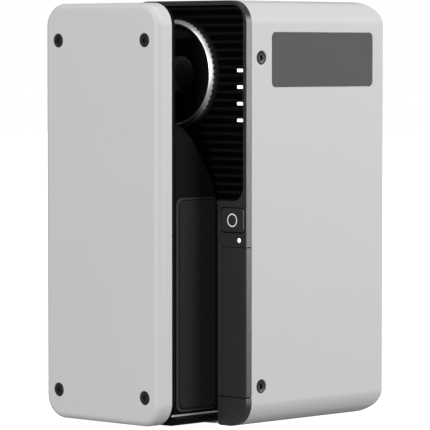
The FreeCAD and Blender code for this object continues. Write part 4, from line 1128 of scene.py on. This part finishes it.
class SCANNER_OT_stage(bpy.types.Operator):
    """Pale floor, soft studio lights and the camera"""
    bl_idname = "scanner.stage"
    bl_label = "Stage"

    def execute(self, context):
        scene = context.scene
        scene.view_settings.view_transform = "Standard"
        self.floor()
        self.world(scene)
        for name, (centre, target, size, power) in LIGHTS.items():
            self.light(name, Vector(centre), Vector(target), size, power)
        camera = bpy.data.objects.new("camera", bpy.data.cameras.new("camera"))
        scene.collection.objects.link(camera)
        camera.data.lens = CAMERA_LENS
        camera.data.sensor_width = 36
        camera.location = CAMERA_PLACE
        camera.rotation_euler = (math.radians(90 - CAMERA_PITCH), 0, math.radians(CAMERA_TURN))
        scene.camera = camera
        return {"FINISHED"}

    def floor(self):
        bpy.ops.object.select_all(action="DESELECT")
        bpy.ops.mesh.primitive_plane_add(size=8, location=(0, 0, 0))
        floor = named("floor")
        edit(floor)
        bpy.ops.mesh.subdivide(number_cuts=3)
        done()
        look = Finish("floor", Specular_IOR_Level=0.0, Emission_Color=(1, 1, 1, 1), Emission_Strength=1.0)
        cloudy = look.noise(0.4, detail=2.0)
        look.colour(cloudy, (0.86, 0.86, 0.86), (0.9, 0.9, 0.9))
        look.rough(0.7 + cloudy * 0.1)
        floor.data.materials.append(look.material)
        floor.visible_diffuse = False
        floor.visible_glossy = False

    def world(self, scene):
        world = bpy.data.worlds.new("studio")
        scene.world = world
        world.use_nodes = True
        tree = world.node_tree
        background = tree.nodes["Background"]
        path = tree.nodes.new("ShaderNodeLightPath")
        mix = tree.nodes.new("ShaderNodeMix")
        mix.data_type = "RGBA"
        mix.inputs[6].default_value = (*FILL, 1)
        mix.inputs[7].default_value = (1, 1, 1, 1)
        tree.links.new(path.outputs["Is Camera Ray"], mix.inputs[0])
        tree.links.new(mix.outputs[2], background.inputs["Color"])

    def light(self, name, centre, target, size, power):
        lamp = bpy.data.lights.new(name, "AREA")
        lamp.shape = "RECTANGLE"
        lamp.size, lamp.size_y = size
        lamp.energy = power
        lamp.color = (1, 1, 1)
        placed = bpy.data.objects.new(name, lamp)
        bpy.context.scene.collection.objects.link(placed)
        placed.location = centre
        placed.rotation_euler = (centre - target).to_track_quat("Z", "Y").to_euler()


TRIPOD_RADIUS = 6 * MM
VENT_COUNT = 8
VENT_PITCH = 4.4 * MM
VENT_LENGTH = 34 * MM
VENT_HEIGHT = 2.2 * MM
SOCKET_RADIUS = 1.35 * MM
SHANK_RADIUS = 1.5 * MM
RIM_WIDTH = 2 * MM
CLEARANCE = 0.3 * MM
KEY_THICKNESS = 2.2 * MM
KEY_TRAVEL = 0.5 * MM
STEM_SIZE = 6 * MM
GROOVE_DEPTH = 0.9 * MM
LENS_LAND = 1.2 * MM
LIGHT_SIZE = (3 * MM, 1.4 * MM)
REAR_TUBE = 19.5 * MM
GLASS_RISE = 3.6 * MM
PUPIL_RISE = 2 * MM
GRIP_FLAT = 4.7 * MM
SHOULDER_HEIGHT = 99.5 * MM
SHOULDER_RADIUS = 6 * MM
TRAY_LIP = 0.9 * MM

INNER_FINISHES = {
    "inner_plastic": ["chassis", "battery_bay", "fan_housing", "fan_rotor"],
    "board_green": ["main_board", "camera_board", "port_board", "light_board"],
    "chip_black": ["processor", "button_switch"],
    "bare_aluminium": ["heat_sink"],
    "contact_brass": ["battery_contacts", "board_standoffs"],
    "bright_steel": ["usb_socket", "tripod_insert"],
}

FILL = (0.22, 0.22, 0.22)
LIGHTS = {  # centre, target, (width, height), power
    "right_softbox": ((1.25, 1.05, 0.42), (0.04, 0.02, 0.1), (0.55, 0.9), 15.5),
    "front_softbox": ((0.9, -2.2, 0.5), (0, 0, 0.09), (0.5, 0.5), 34),
    "crown_softbox": ((0.05, -1.15, 1.2), (0, 0, 0.15), (0.4, 0.3), 4),
    "top_softbox": ((0.3, 0.3, 1.5), (0, 0, 0.1), (0.5, 0.5), 7),
}
CAMERA_LENS = 276
CAMERA_TURN = 43.7
CAMERA_PITCH = 2.78
CAMERA_PLACE = (0.9890, -1.0352, 0.157)

STEPS = (SCANNER_OT_cover, SCANNER_OT_tower, SCANNER_OT_window, SCANNER_OT_screws, SCANNER_OT_bezel,
         SCANNER_OT_battery, SCANNER_OT_face, SCANNER_OT_lights, SCANNER_OT_lens, SCANNER_OT_grip,
         SCANNER_OT_key, SCANNER_OT_inside, SCANNER_OT_stage)


class SCANNER_PT_sidebar(bpy.types.Panel):
    """Lists the pieces of the scanner in the sidebar"""
    bl_label = "Handheld scanner"
    bl_idname = "SCANNER_PT_sidebar"
    bl_space_type = "VIEW_3D"
    bl_region_type = "UI"
    bl_category = "Scanner"

    def draw(self, context):
        for step in STEPS:
            self.layout.operator(step.bl_idname)
        for group in (context.scene.scanner_sizes, context.scene.scanner_colours):
            box = self.layout.box()
            for name in group.__annotations__:
                box.prop(group, name)


CLASSES = (ScannerSizes, ScannerColours, *STEPS, SCANNER_PT_sidebar)


def register():
    for item in CLASSES:
        bpy.utils.register_class(item)
    bpy.types.Scene.scanner_sizes = PointerProperty(type=ScannerSizes)
    bpy.types.Scene.scanner_colours = PointerProperty(type=ScannerColours)


def unregister():
    del bpy.types.Scene.scanner_colours
    del bpy.types.Scene.scanner_sizes
    for item in reversed(CLASSES):
        bpy.utils.unregister_class(item)


def main():
    register()
    for step in STEPS:
        group, name = step.bl_idname.split(".")
        result = getattr(getattr(bpy.ops, group), name)()
        if result != {"FINISHED"}:
            raise RuntimeError(f"{step.bl_label} was not made")


if __name__ == "__main__":
    main()
